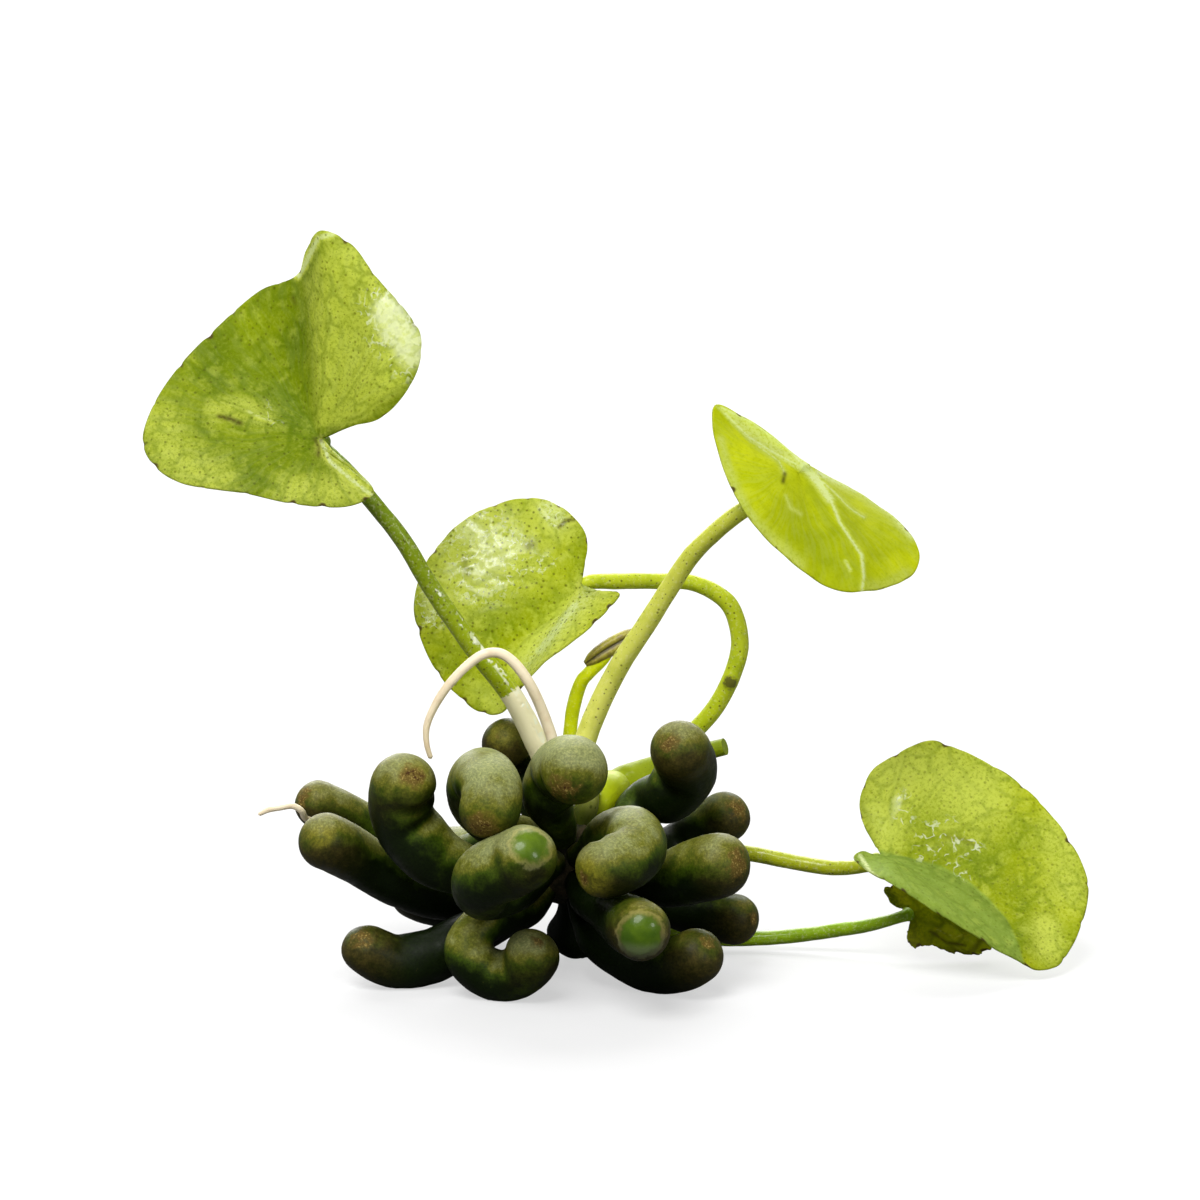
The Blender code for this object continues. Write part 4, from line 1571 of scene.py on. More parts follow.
@dataclass(frozen=True)
class RolledLeaf:
    """The young leaf, rolled up from both sides, with a groove where the rolls meet."""

    node: str
    points: tuple[Row, ...]
    sides: int = 48
    ring_gap: float = 0.15
    groove_depth: float = 0.38
    groove_width: float = 0.32
    groove_angle: float = math.radians(-82.0)

    def build(self, house: Greenhouse) -> bpy.types.Object:
        """Sweep the grooved outline along the leaf.

        Args:
            house: What the pieces are grown with.

        Returns:
            The rolled leaf.
        """
        curve = smooth_curve(self.points)
        length = walked_lengths(curve)[-1]
        count = round(length / self.ring_gap)
        rings = at_lengths(curve, np.linspace(0.0, length, count))
        angles = np.linspace(0.0, 2 * math.pi, self.sides, endpoint=False)
        aside = np.angle(np.exp(1j * (angles - self.groove_angle)))
        groove = np.exp(-((aside / self.groove_width) ** 2))
        outline = 1.0 - self.groove_depth * groove
        tangent = np.gradient(rings[:, :3], axis=0)
        tangent /= np.linalg.norm(tangent, axis=1)[:, None]
        side = np.cross(tangent, (0.0, 1.0, 0.0))
        side /= np.linalg.norm(side, axis=1)[:, None]
        front = np.cross(side, tangent)
        across, ahead = np.cos(angles)[None, :, None], np.sin(angles)[None, :, None]
        around = side[:, None, :] * across + front[:, None, :] * ahead
        places = rings[:, None, :3] + around * (rings[:, 3, None] * outline[None, :])[..., None]
        corners = np.vstack([places.reshape(-1, 3), rings[0, :3], rings[-1, :3]])
        faces = tube_faces(count, self.sides)
        piece = mesh_piece(
            self.node + "_skin", house.place.metres(corners), faces, house.materials["rolled leaf"]
        )
        set_numbers(piece.data, "groove", np.concatenate([np.tile(groove, count), [0.0, 0.0]]))
        face_outwards(piece.data)
        house.hand_over(piece, [self.node])
        return piece


def tube_faces(rings: int, sides: int) -> list[tuple[int, ...]]:
    """Join rings of corners into a tube whose ends close on two last corners.

    Args:
        rings: How many rings there are.
        sides: How many corners each has.

    Returns:
        The faces as corner numbers.
    """
    faces: list[tuple[int, ...]] = []
    for ring in range(rings - 1):
        here, there = ring * sides, (ring + 1) * sides
        for side in range(sides):
            after = (side + 1) % sides
            faces.append((here + side, here + after, there + after, there + side))
    first, last = rings * sides, rings * sides + 1
    for side in range(sides):
        after = (side + 1) % sides
        faces.append((first, after, side))
        faces.append((last, (rings - 1) * sides + side, (rings - 1) * sides + after))
    return faces


@dataclass(frozen=True)
class Stroke:
    """A line or patch on a blade, placed by what the photograph shows.

    The points are pixels of the photograph. Lift moves the surface along the blade's normal; a sharp stroke
    makes a crease, another a soft swelling or hollow. An area stroke fills the outline that its points make.
    Each kind of stroke names the attribute by which the leaf tissue reads it.
    """

    attribute = ""
    width: float
    strength: float
    photo_points: tuple[tuple[float, float], ...]
    lift: float = 0.0
    sharp: bool = False
    area: bool = False

    def closeness(self, pixels: np.ndarray) -> np.ndarray:
        """Measure how near places are to the stroke.

        Args:
            pixels: Where the places show in the photograph.

        Returns:
            1 on the stroke, falling to 0 beside it.
        """
        nearest = np.full(pixels.shape[:-1], np.inf)
        inside = np.zeros(pixels.shape[:-1], dtype=bool)
        points = np.array(self.photo_points + (self.photo_points[:1] if self.area else ()), dtype=float)
        for start, end in zip(points, points[1:]):
            step = end - start
            share = np.clip(((pixels - start) @ step) / (step @ step), 0.0, 1.0)
            gap = np.linalg.norm(pixels - start - share[..., None] * step, axis=-1)
            nearest = np.minimum(nearest, gap)
            beside = (start[1] > pixels[..., 1]) != (end[1] > pixels[..., 1])
            crossing = start[0] + (pixels[..., 1] - start[1]) * step[0] / (step[1] or 1.0)
            inside ^= beside & (pixels[..., 0] < crossing)
        if self.area:
            nearest[inside] = 0.0
        across = nearest * PHOTO.pixel_size / self.width
        return np.exp(-across) if self.sharp else np.exp(-(across**2))


class Fold(Stroke):
    """A stroke that only moves the surface."""


class Shade(Stroke):
    """A dark green shadow."""

    attribute = "shade"


class Pale(Stroke):
    """A pale patch or fold; many are painted highlights and sheen where a lobe or ridge catches the light."""

    attribute = "pale"


class Wet(Stroke):
    """A wet place, where the coat is glossier and white glints are painted on the film."""

    attribute = "wet"


class Brown(Stroke):
    """A brown line or spot."""

    attribute = "brown"


class Dull(Stroke):
    """A strip painted in the underside's duller colour: painted sheen of a surface seen at a grazing angle.
    """

    attribute = "dull"


def blade_faces(rows: int, spokes: int) -> list[tuple[int, ...]]:
    """Join a blade's corners: its upper side, rim and lower side, and the two edges beside the notch.

    Args:
        rows: How many rows each side has.
        spokes: How many spokes it has.

    Returns:
        The faces as corner numbers.
    """
    top, edge, bottom = 1, 1 + rows * spokes, 2 + rows * spokes + spokes
    faces: list[tuple[int, ...]] = []
    for spoke in range(spokes - 1):
        faces.append((0, top + spoke, top + spoke + 1))
        faces.append((bottom - 1, bottom + spoke + 1, bottom + spoke))
        last = (rows - 1) * spokes + spoke
        faces.append((top + last, edge + spoke, edge + spoke + 1, top + last + 1))
        faces.append((bottom + last, bottom + last + 1, edge + spoke + 1, edge + spoke))
    for row in range(rows - 1):
        for spoke in range(spokes - 1):
            at = row * spokes + spoke
            faces.append((top + at, top + at + spokes, top + at + spokes + 1, top + at + 1))
            faces.append((bottom + at, bottom + at + 1, bottom + at + spokes + 1, bottom + at + spokes))
    for spoke, turned in ((0, False), (spokes - 1, True)):
        chain = [0, *(top + row * spokes + spoke for row in range(rows)), edge + spoke]
        other = [bottom - 1, *(bottom + row * spokes + spoke for row in range(rows)), edge + spoke]
        for a, b, c, d in zip(chain, chain[1:], other[1:], other):
            face = (a, d, c, b) if turned else (a, b, c, d)
            faces.append(tuple(dict.fromkeys(face)))
    return faces


@dataclass
class Sheet:
    """A blade's middle surface, row by row from the stalk and spoke by spoke around it.

    Attributes:
        attach: Where the stalk meets the blade.
        normal: The upper side's rough direction.
        places: The surface's places in millimetres.
        flat: Their flat places.
        nick: How strong a nick each spoke has.
        share: How far along its spoke each row is.
    """

    attach: np.ndarray
    normal: np.ndarray
    places: np.ndarray
    flat: np.ndarray
    nick: np.ndarray
    share: np.ndarray


@dataclass(frozen=True)
class Blade:
    """A leaf blade: its outline as (x, y, z, bulge, curl) from one side of the notch round to the other.

    Bulge lifts the middle of a spoke towards the normal. Curl lifts it just inside the margin, which then
    lies behind, as on a leaf whose edge turns back. Either is left out where it is 0.
    """

    node: str
    finish: str
    tissue: Tissue
    attach: Row
    normal: Row
    outline: tuple[Row, ...]
    strokes: tuple[Stroke, ...] = ()
    spokes: int = 400
    rows: int = 66
    thickness: float = 0.42
    smoothing: float = 14.0
    wave: float = 0.12
    waves: float = 9.0
    pebble: float = 0.035
    nick_gap: float = 4.5
    nick_depth: float = 0.2
    ragged: float = 0.0
    seed: int = 1

    def margin(self) -> np.ndarray:
        """Space the outline's points evenly, with a bulge and curl of 0 where none are given."""
        curve = smooth_curve([(*row, 0.0, 0.0)[:OUTLINE_NUMBERS] for row in self.outline])
        return at_lengths(curve, np.linspace(0.0, walked_lengths(curve)[-1], self.spokes))

    def build(self, house: Greenhouse) -> bpy.types.Object:
        """Build the blade's two sides and its rim.

        Args:
            house: What the pieces are grown with.

        Returns:
            The blade.
        """
        margin = self.margin()
        outline_lengths = walked_lengths(margin)
        nick = self.nicks(outline_lengths)
        attach = np.array(self.attach)
        normal = np.array(self.normal) / np.linalg.norm(self.normal)
        soft = blurred(margin, self.smoothing)
        share = (np.arange(1, self.rows + 1) / self.rows) ** ROW_POWER
        grown = share[:, None, None]
        inner = attach + grown * (soft[None, :, :3] - attach)
        surface = inner + grown**DETAIL_POWER * (margin[:, :3] - soft[:, :3])[None]
        lift = 4.0 * soft[None, :, 3] * share[:, None] * (1.0 - share[:, None])
        lift = lift + soft[None, :, 4] * (share[:, None] ** CURL_POWER - share[:, None])
        pixels = PHOTO.seen_at(surface + lift[..., None] * normal)
        for stroke in self.strokes:
            if stroke.lift:
                lift = lift + stroke.lift * stroke.closeness(pixels) * (1.0 - share[:, None] ** CURL_POWER)
        along = np.linspace(0.0, 1.0, self.spokes)
        reach = np.linalg.norm(margin[:, :3] - attach, axis=1)
        turns = 2 * math.pi * self.waves * along
        sway = np.sin(turns + self.seed) + FINE_WAVE_SHARE * np.sin(FINE_WAVE * turns)
        ends = smooth_step(np.minimum(along, 1.0 - along), 0.0, WAVE_FADE) * smooth_step(reach, *WAVE_REACH)
        lift = lift + self.wave * share[:, None] ** WAVE_POWER * (sway * ends)[None, :]
        surface = surface + lift[..., None] * normal
        pull = (nick * self.nick_depth)[None, :, None] * grown**NICK_POWER
        inward = attach - margin[:, :3]
        inward /= np.linalg.norm(inward, axis=1)[:, None]
        surface = surface + pull * inward[None]
        if self.ragged:
            teeth = self.raggedness(outline_lengths)[None, :, None]
            surface = surface + teeth * grown**RAGGED_POWER * inward[None]
        flat = self.flattened(attach, surface)
        surface = surface + self.pebbles(flat)[..., None] * normal
        return self.solid(house, Sheet(attach, normal, surface, flat, nick, share))

    def nicks(self, lengths: np.ndarray) -> np.ndarray:
        """Strew small dark nicks along the margin.

        Args:
            lengths: How far along the outline each spoke ends.

        Returns:
            How strong a nick each spoke has.
        """
        dice = np.random.default_rng(self.seed)
        found = np.zeros(len(lengths))
        at = self.nick_gap
        while at < lengths[-1] - self.nick_gap:
            size = dice.uniform(*NICK_SIZES)
            width = NICK_WIDTH + NICK_GROWTH * size
            found = np.maximum(found, size * np.exp(-(((lengths - at) / width) ** 2)))
            at += dice.uniform(*NICK_GAPS) * self.nick_gap
        return found

    def raggedness(self, lengths: np.ndarray) -> np.ndarray:
        """Give a rotten margin its teeth, in millimetres towards the stalk."""
        rough = [noise.fractal(Vector((at * RAGGED_PACE, self.seed, 0.0)), 0.8, 2.0, 4) for at in lengths]
        return self.ragged * np.array(rough)

    def flattened(self, attach: np.ndarray, surface: np.ndarray) -> np.ndarray:
        """Unroll the blade around its stalk, so that patterns lie on it undistorted.

        Args:
            attach: Where the stalk meets the blade.
            surface: The blade's places, row by row and spoke by spoke.

        Returns:
            A flat place in millimetres for each of them.
        """
        steps = np.diff(np.concatenate([np.broadcast_to(attach, (1, *surface.shape[1:])), surface]), axis=0)
        far = np.cumsum(np.linalg.norm(steps, axis=2), axis=0)
        outer = surface[-1] - attach
        outer = outer / np.linalg.norm(outer, axis=1)[:, None]
        between = np.clip(np.sum(outer[1:] * outer[:-1], axis=1), -1.0, 1.0)
        angle = np.concatenate([[0.0], np.cumsum(np.arccos(between))])
        return np.stack([far * np.cos(angle), far * np.sin(angle)], axis=-1)

    def pebbles(self, flat: np.ndarray) -> np.ndarray:
        """Raise and sink the surface a little between the veins.

        Args:
            flat: The surface's flat places.

        Returns:
            A height in millimetres for each of them.
        """
        out = np.empty(flat.shape[:2])
        for row in range(flat.shape[0]):
            for spoke in range(flat.shape[1]):
                x, y = flat[row, spoke]
                out[row, spoke] = noise.noise(Vector((x * PEBBLE_PACE, y * PEBBLE_PACE, self.seed * 7.0)))
        return out * self.pebble * 2.0

    def solid(self, house: Greenhouse, sheet: Sheet) -> bpy.types.Object:
        """Give the surface its thickness and store what the material reads.

        Args:
            house: What the pieces are grown with.
            sheet: The blade's middle surface.

        Returns:
            The blade.
        """
        surface, attach, normal = sheet.places, sheet.attach, sheet.normal
        rows, spokes = surface.shape[:2]
        along_spoke = np.gradient(
            np.concatenate([np.broadcast_to(attach, (1, spokes, 3)), surface]), axis=0
        )[1:]
        across = np.gradient(surface, axis=1)
        facing = np.cross(across, along_spoke)
        facing /= np.maximum(np.linalg.norm(facing, axis=2), 1e-9)[..., None]
        if np.sum(facing[rows // 2] @ normal) < 0:
            facing = -facing
        half = self.thickness / 2 * (1.0 - MARGIN_THINNING * sheet.share[:, None, None] ** THINNING_POWER)
        upper = surface + facing * half
        lower = surface - facing * half
        rim = surface[-1] + (surface[-1] - surface[-2]) * RIM_STEP
        places = np.concatenate([
            (attach + normal * half[0, 0])[None], upper.reshape(-1, 3), rim,
            (attach - normal * half[0, 0])[None], lower.reshape(-1, 3),
        ])
        faces = blade_faces(rows, spokes)
        piece = mesh_piece(
            self.node + "_skin", house.place.metres(places), faces, house.materials[self.finish]
        )
        self.store(piece.data, sheet)
        face_outwards(piece.data)
        house.hand_over(piece, [self.node])
        return piece

    def store(self, mesh: bpy.types.Mesh, sheet: Sheet) -> None:
        """Store each corner's flat place, side, distance to the margin, nicks and strokes.

        Args:
            mesh: The blade's mesh.
            sheet: The blade's middle surface.
        """
        surface, flat, nick = sheet.places, sheet.flat, sheet.nick
        rows, spokes = surface.shape[:2]
        to_margin = np.linalg.norm(surface - surface[-1], axis=2)
        pixels = PHOTO.seen_at(surface)
        nicked = nick[None, :] * np.exp(-((to_margin / NICK_STAIN) ** 2))

        def everywhere(grid: np.ndarray, centre: float, rim: np.ndarray) -> np.ndarray:
            """Lay a grid's numbers out in the order of the corners."""
            return np.concatenate([[centre], grid.ravel(), rim, [centre], grid.ravel()])

        zeros = np.zeros((rows, spokes))
        x = everywhere(flat[..., 0], 0.0, flat[-1, :, 0])
        y = everywhere(flat[..., 1], 0.0, flat[-1, :, 1])
        side = np.concatenate([[0.0], zeros.ravel(), np.full(spokes, 0.5), [1.0], zeros.ravel() + 1.0])
        vector = np.column_stack([x + UNDERSIDE_SHIFT * side, y, side]).astype(np.float32)
        mesh.attributes.new("flat", "FLOAT_VECTOR", "POINT").data.foreach_set("vector", vector.ravel())
        set_numbers(mesh, "under", side)
        set_numbers(mesh, "edge", everywhere(to_margin, to_margin.max(), np.zeros(spokes)))
        set_numbers(mesh, "nick", everywhere(nicked, 0.0, nick))
        for kind in (Shade, Pale, Wet, Brown, Dull):
            amount = np.zeros((rows, spokes))
            for stroke in self.strokes:
                if isinstance(stroke, kind):
                    amount = np.maximum(amount, stroke.strength * stroke.closeness(pixels))
            set_numbers(mesh, kind.attribute, everywhere(amount, amount[0].mean(), amount[-1]))


@dataclass(frozen=True)
class Crown:
    """The short rhizome in the middle, lumpy where stalks and tubers broke off."""

    node: str = "crown"
    inset: float = 0.5
    subdivisions: int = 6
    lump: float = 0.5
    lump_pace: float = 2.2

    def build(self, house: Greenhouse) -> bpy.types.Object:
        """Build the crown.

        Args:
            house: What the pieces are grown with.

        Returns:
            The crown.
        """
        shape = bmesh.new()
        bmesh.ops.create_icosphere(shape, subdivisions=self.subdivisions, radius=CROWN_RADIUS - self.inset)
        for corner in shape.verts:
            direction = corner.co.normalized()
            lump = noise.fractal(direction * self.lump_pace, 0.9, 2.0, 4)
            corner.co = Vector(CROWN_CENTRE) + direction * (corner.co.length + self.lump * lump)
        mesh = bpy.data.meshes.new(self.node + "_skin")
        for corner in shape.verts:
            corner.co = Vector(house.place.metres([corner.co])[0])
        shape.to_mesh(mesh)
        shape.free()
        mesh.materials.append(house.materials["crown tissue"])
        mesh.shade_smooth()
        piece = linked(self.node + "_skin", mesh)
        house.hand_over(piece, [self.node])
        return piece


def line(azimuth: float, elevation: float, *points: Row) -> Centreline:
    """Write a centreline shortly."""
    return Centreline(azimuth, elevation, points)


# Each tuber: its way out of the crown and centreline in millimetres, its tone (low for tubers in shadow:
# painted shade) and its mark
TUBERS = (
    Tuber("tuber_left_upper", line(
        246, 8, (-14.5, 11.5, 11, 2.9), (-20, 11.5, 12.5, 3.2), (-25, 10, 15.5, 3.2), (-29, 7.5, 18.5, 3.0),
        (-32.5, 6, 20.5, 2.9)), 0.42, Spot(Mark.SCAR, (-32.8, 4.6, 21.2), 2.6)),
    Tuber("tuber_left_middle", line(
        277, -14, (-13.5, 0, 9.5, 3.0), (-19.5, -2, 11.5, 3.2), (-24.5, -5, 15, 3.2), (-27.5, -8, 17.5, 3.4),
        (-30.5, -11, 19.5, 3.3)), 0.4, Spot(Mark.SPOT, (-29.0, -12.5, 20.0), 3.0, 0.05)),
    Tuber("tuber_left_hook", line(
        303, -8, (-8.3, -7.7, 13.8, 2.6), (-12.5, -9.5, 15, 3.2), (-16, -10, 17, 3.8),
        (-18.9, -10.2, 21, 4.0), (-19.2, -11.6, 24.8, 4.0), (-17.9, -14.6, 28.0, 3.85)), 0.6,
        Spot(Mark.SCAR, (-17.7, -15.2, 27.7), 2.3, halo=3.6)),
    Tuber("tuber_left_lower", line(
        252, -28, (-11, 6.5, 6.5, 2.8), (-16.5, 6.5, 7.5, 3.2), (-21, 5.5, 9.5, 2.9)), 0.6),
    Tuber("tuber_left_foot", line(
        281, -48, (-12, -5, 5.5, 2.9), (-16, -6.5, 3.5, 3.3), (-20.5, -7.5, 3.2, 3.35), (-24, -8.5, 5, 3.0),
        (-25.5, -9.5, 6.5, 2.9)), -0.45, Spot(Mark.SCAR, (-24.8, -11.0, 7.4), 2.6)),
    Tuber("tuber_top_left", line(
        232, 50, (-4, 8.5, 22.5, 3.0), (-6, 8.5, 25.5, 3.25), (-7, 6, 27, 3.2), (-7.5, 3.5, 28.5, 3.0)),
        0.05, Spot(Mark.SCAR, (-8.3, 2.7, 29.0), 1.5, halo=3.2)),
    Tuber("tuber_front_curl", line(
        317, 30, (-7.5, -6, 19, 2.6), (-10, -7, 21.5, 3.1), (-10.5, -10, 24.5, 3.6), (-9.5, -15, 27, 3.75),
        (-8.6, -19.3, 26.0, 3.8), (-9.2, -21.6, 21.4, 3.4)), 0.84,
        Spot(Mark.SCAR, (-9.6, -23.4, 22.8), 2.9, halo=4.4)),
    Tuber("tuber_top_front", line(
        355, 40, (-2, -9, 23.5, 3.1), (-0.5, -12, 27, 3.9), (1, -17, 28.5, 4.1), (1, -21.5, 28, 3.6)),
        1.16, Spot(Mark.SCAR, (-0.8, -22.6, 26.2), 4.0)),
    Tuber("tuber_front_finger", line(
        343, 4, (-6, -14, 13.5, 2.7), (-9, -17, 14, 3.6), (-9, -21, 16.5, 4.0), (-5.5, -23.5, 19, 3.9),
        (-2.5, -27, 21.5, 3.5)), 0.8, Spot(Mark.WINDOW, (-3.9, -26.6, 21.4), 3.4, 0.08)),
    Tuber("tuber_front_bend", line(
        20, 14, (5.5, -11, 19, 3.2), (8, -15, 20, 3.7), (8, -19.5, 19, 3.7), (5, -22, 18, 3.6),
        (1.5, -23, 18, 3.3)), 0.66, Spot(Mark.SCAR, (2.0, -24.6, 17.0), 1.5, 0.3, halo=5.0)),
    Tuber("tuber_front_point", line(
        18, -22, (5, -14, 11, 2.6), (7.5, -20, 10.8, 3.4), (9, -26, 11.3, 3.5), (9.5, -29, 11.3, 3.3)),
        0.12, Spot(Mark.WINDOW, (8.9, -28.8, 11.4), 4.0, 0.08)),
    Tuber("tuber_front_foot", line(
        322, -36, (-10, -11, 8, 2.8), (-11, -12.5, 5.5, 3.4), (-8, -13, 3.1, 3.5), (-5, -14.5, 4.3, 3.5),
        (-3, -17.5, 8, 3.3)), 0.66, Spot(Mark.SCAR, (-3.0, -18.0, 8.5), 1.6)),
    Tuber("tuber_right_hook", line(
        62, 30, (9, -0.5, 20.5, 2.8), (12.5, -2, 22.5, 3.5), (14.5, -4, 25.5, 3.7), (14, -7.5, 28.5, 3.65),
        (13, -12, 30.5, 3.4)), 0.35, Spot(Mark.SCAR, (12.0, -12.4, 31.0), 2.2)),
    Tuber("tuber_right_upper", line(
        90, 6, (13, 4.5, 14.5, 2.7), (17.5, 4.5, 17, 3.15), (21.5, 2.5, 20, 3.1)), 0.12,
        Spot(Mark.SCAR, (21.6, 1.2, 20.6), 2.8)),
    Tuber("tuber_right_middle", line(
        62, -4, (11.5, -7, 13, 3.2), (16.5, -10, 15, 3.9), (21, -13.5, 17, 3.7)), 0.5,
        Spot(Mark.SCAR, (21.6, -14.6, 17.0), 3.2)),
    Tuber("tuber_right_lower", line(
        92, -20, (13.5, 3, 7.5, 2.8), (19, 1, 6.5, 3.1), (23, -1.5, 6.5, 2.9)), -0.05,
        Spot(Mark.SCAR, (23.5, -2.0, 7.0), 1.8)),
    Tuber("tuber_right_foot", line(
        35, -56, (4.5, -6, 5.5, 2.9), (10, -9, 3.2, 3.35), (14, -12, 4.0, 3.4), (17.5, -15, 7, 3.2)), -0.05,
        Spot(Mark.SCAR, (17.5, -15.5, 8.0), 2.0)),
    Tuber("tuber_back_left", line(
        214, 8, (-10.5, 17, 11.5, 2.8), (-16, 21, 10, 3.1), (-19.5, 22, 9, 2.9)), 0.5,
        Spot(Mark.SCAR, (-19.5, 22.5, 9.0), 1.8)),
    Tuber("tuber_back_top", line(
        188, 28, (-1, 15, 15, 2.9), (-1.5, 20, 15, 3.2), (-2, 25, 13, 2.9)), 0.6,
        Spot(Mark.SCAR, (-2.0, 25.0, 13.5), 1.8)),
    Tuber("tuber_back_right", line(
        158, 8, (4.5, 15, 11.5, 2.8), (8.5, 20, 11.5, 3.1), (10.5, 24, 9.5, 2.9)), 0.4,
        Spot(Mark.SCAR, (10.5, 24.5, 9.5), 1.8)),
    Tuber("tuber_back_side", line(
        124, -18, (11, 12.5, 8.5, 2.7), (15.5, 16.5, 8, 3.0), (18.5, 20, 7.5, 2.8)), 0.5,
        Spot(Mark.SCAR, (18.5, 20.0, 7.5), 1.8)),
    Tuber("tuber_back_foot_left", line(
        212, -34, (-6.5, 12.5, 6, 2.6), (-10, 16, 3.1, 2.8), (-14, 19, 2.5, 2.9)), 0.4,
        Spot(Mark.SCAR, (-14.5, 19.5, 2.5), 1.8)),
    Tuber("tuber_back_foot_right", line(
        152, -30, (5, 14, 5.6, 2.7), (8.5, 18.5, 2.9, 3.0), (10.5, 22, 2.6, 2.9)), 0.45,
        Spot(Mark.SCAR, (10.5, 22.5, 2.6), 1.8)),
    Tuber("tuber_under", line(
        165, -66, (0, 4, 5, 2.7), (1.5, 7.5, 2.7, 3.0), (2.5, 10.5, 2.7, 2.9)), 0.2),
)

# Each stalk or root: its way out of the crown and centreline, its finish and how it ends
STALKS = (
    Stalk("petiole_upper_left", line(
        280, 78, (-2.5, 2.5, 25.5, 1.45), (-4, 2, 29, 1.42), (-6.5, 1, 34, 1.3), (-11, 0, 40, 1.2),
        (-16, -1, 47.5, 1.1), (-19.5, -1.5, 53.5, 1.05), (-23.5, -1, 58.5, 1.0), (-25.5, -1, 61, 1.0),
        (-27.5, -0.5, 63, 0.95), (-29, 0.2, 64.5, 0.9)),
        "green stalk", Tissue.GREEN_STALK, join=(-29, -1, 65.5), bleach_below=34.5),
    Stalk("petiole_arched", line(
        140, 28, (8.5, 19, 17, 1.2), (12.5, 19.5, 22.5, 1.15), (16.5, 19, 26.5, 1.1), (18.5, 18.5, 29, 1.1),
        (20.5, 18, 33, 1.1), (21.5, 18, 37, 1.1), (20.5, 18, 41.5, 1.1), (18.5, 18, 43.5, 1.05),
        (15.5, 18, 44.8, 1.0), (10.5, 17, 45.2, 1.0), (6, 15, 45.5, 1.0), (2.9, 13.9, 45.6, 0.9)),
        "arched stalk", Tissue.GREEN_STALK, join=(1.5, 13.75, 45.1), flare=0.85,
        spot=Spot(Mark.SCAR, (20.3, 17.0, 32.4), 1.5, -0.2)),
    Stalk("petiole_upright", line(
        60, 66, (1.5, 4, 24, 1.4), (2.5, 4.5, 28, 1.35), (4.5, 4, 33, 1.3), (7, 3, 38, 1.25),
        (9.5, 2, 42, 1.2), (12.5, 1, 47, 1.15), (15, 0, 51, 1.1), (17.5, -1, 53.8, 1.05),
        (20.5, -1.8, 56.5, 1.05), (24, -1.2, 58.6, 1.0), (27, 1.2, 60, 0.9)),
        "pale stalk", Tissue.PALE_STALK, join=(27.75, 0.2, 61)),
    Stalk("petiole_right", line(
        118, 16, (11.5, 9, 13.2, 1.15), (17, 10.5, 12.8, 1.0), (23.5, 11, 12, 0.95), (27, 10, 11.5, 0.95),
        (33, 8, 11, 0.92), (37.4, 6, 11.9, 0.85)),
        "bright stalk", Tissue.GREEN_STALK, join=(38.75, 4.6, 13.1)),
    Stalk("petiole_old_leaf", line(
        105, -45, (9, 8, 4, 1.1), (15.5, 10, 2, 1.0), (19.5, 10.5, 1.5, 0.95), (23, 10.5, 1.5, 0.9),
        (27.5, 10, 1.9, 0.88), (33, 8.5, 3, 0.85), (37, 7, 4, 0.8), (41.5, 5.5, 5.6, 0.75)),
        "dark stalk", Tissue.GREEN_STALK, join=(42.3, 6.2, 5.8)),
    Stalk("shoot", line(
        178, 62, (0.5, 11.5, 22.5, 0.88), (0.5, 10.5, 27, 0.85), (1, 9.7, 31, 0.85), (2, 9, 34.2, 0.82),
        (2.8, 8.7, 35.2, 0.8)),
        "shoot stalk", Tissue.GREEN_STALK, join=(5.8, 9.0, 38.2), flare=1.0),
    Stalk("cut_stalk", line(
        112, 54, (6.5, 9, 21, 2.4), (10, 10.6, 22.3, 1.9), (13.5, 10.7, 23.8, 1.4), (16.5, 10, 25, 1.12),
        (19.5, 9, 26, 1.05)),
        "broad stalk", Tissue.GREEN_STALK, cut=True,
        relief=Relief(
            sides=40, lump_size=3.5, lump_height=0.02, grain_size=0.6, grain_height=0.008, ring_gap=0.25
        )),
    Stalk("root_arch", line(
        345, 62, (-1, -3.5, 27, 0.7), (-2.5, -4, 32.5, 0.68), (-4.5, -5, 37, 0.66), (-6.5, -5, 39.5, 0.62),
        (-8, -5, 40.3, 0.6), (-10, -5.3, 40, 0.58), (-13.5, -6, 37, 0.55), (-15.5, -6, 34, 0.5),
        (-16.5, -6, 31.5, 0.42), (-16.5, -6, 29.5, 0.35), (-16, -5.8, 27.5, 0.3)),
        "cream root", Tissue.ROOT,
        relief=Relief(
            sides=28, lump_size=1.6, lump_height=0.03, grain_size=0.4, grain_height=0.006, ring_gap=0.25
        )),
)

SMALL_ROOT = SmallRoot("root_left", (
    (-31.0, 3.2, 18.0, 0.42), (-31.6, 2.2, 18.6, 0.4), (-32, 1.2, 19.7, 0.4), (-33, 1, 20.3, 0.38),
    (-34.5, 1, 20.1, 0.36), (-36, 1, 19.8, 0.34), (-37.2, 1, 19.2, 0.25),
))

ROLLED_LEAF = RolledLeaf("rolled_leaf", (
    (2.4, 8.5, 36.4, 0.35), (3.25, 8.5, 37, 0.85), (4.75, 8.75, 38, 1.1), (6.5, 9, 39, 1.1),
    (8, 9.25, 39.75, 0.9), (9.5, 9.5, 40.25, 0.35),
))

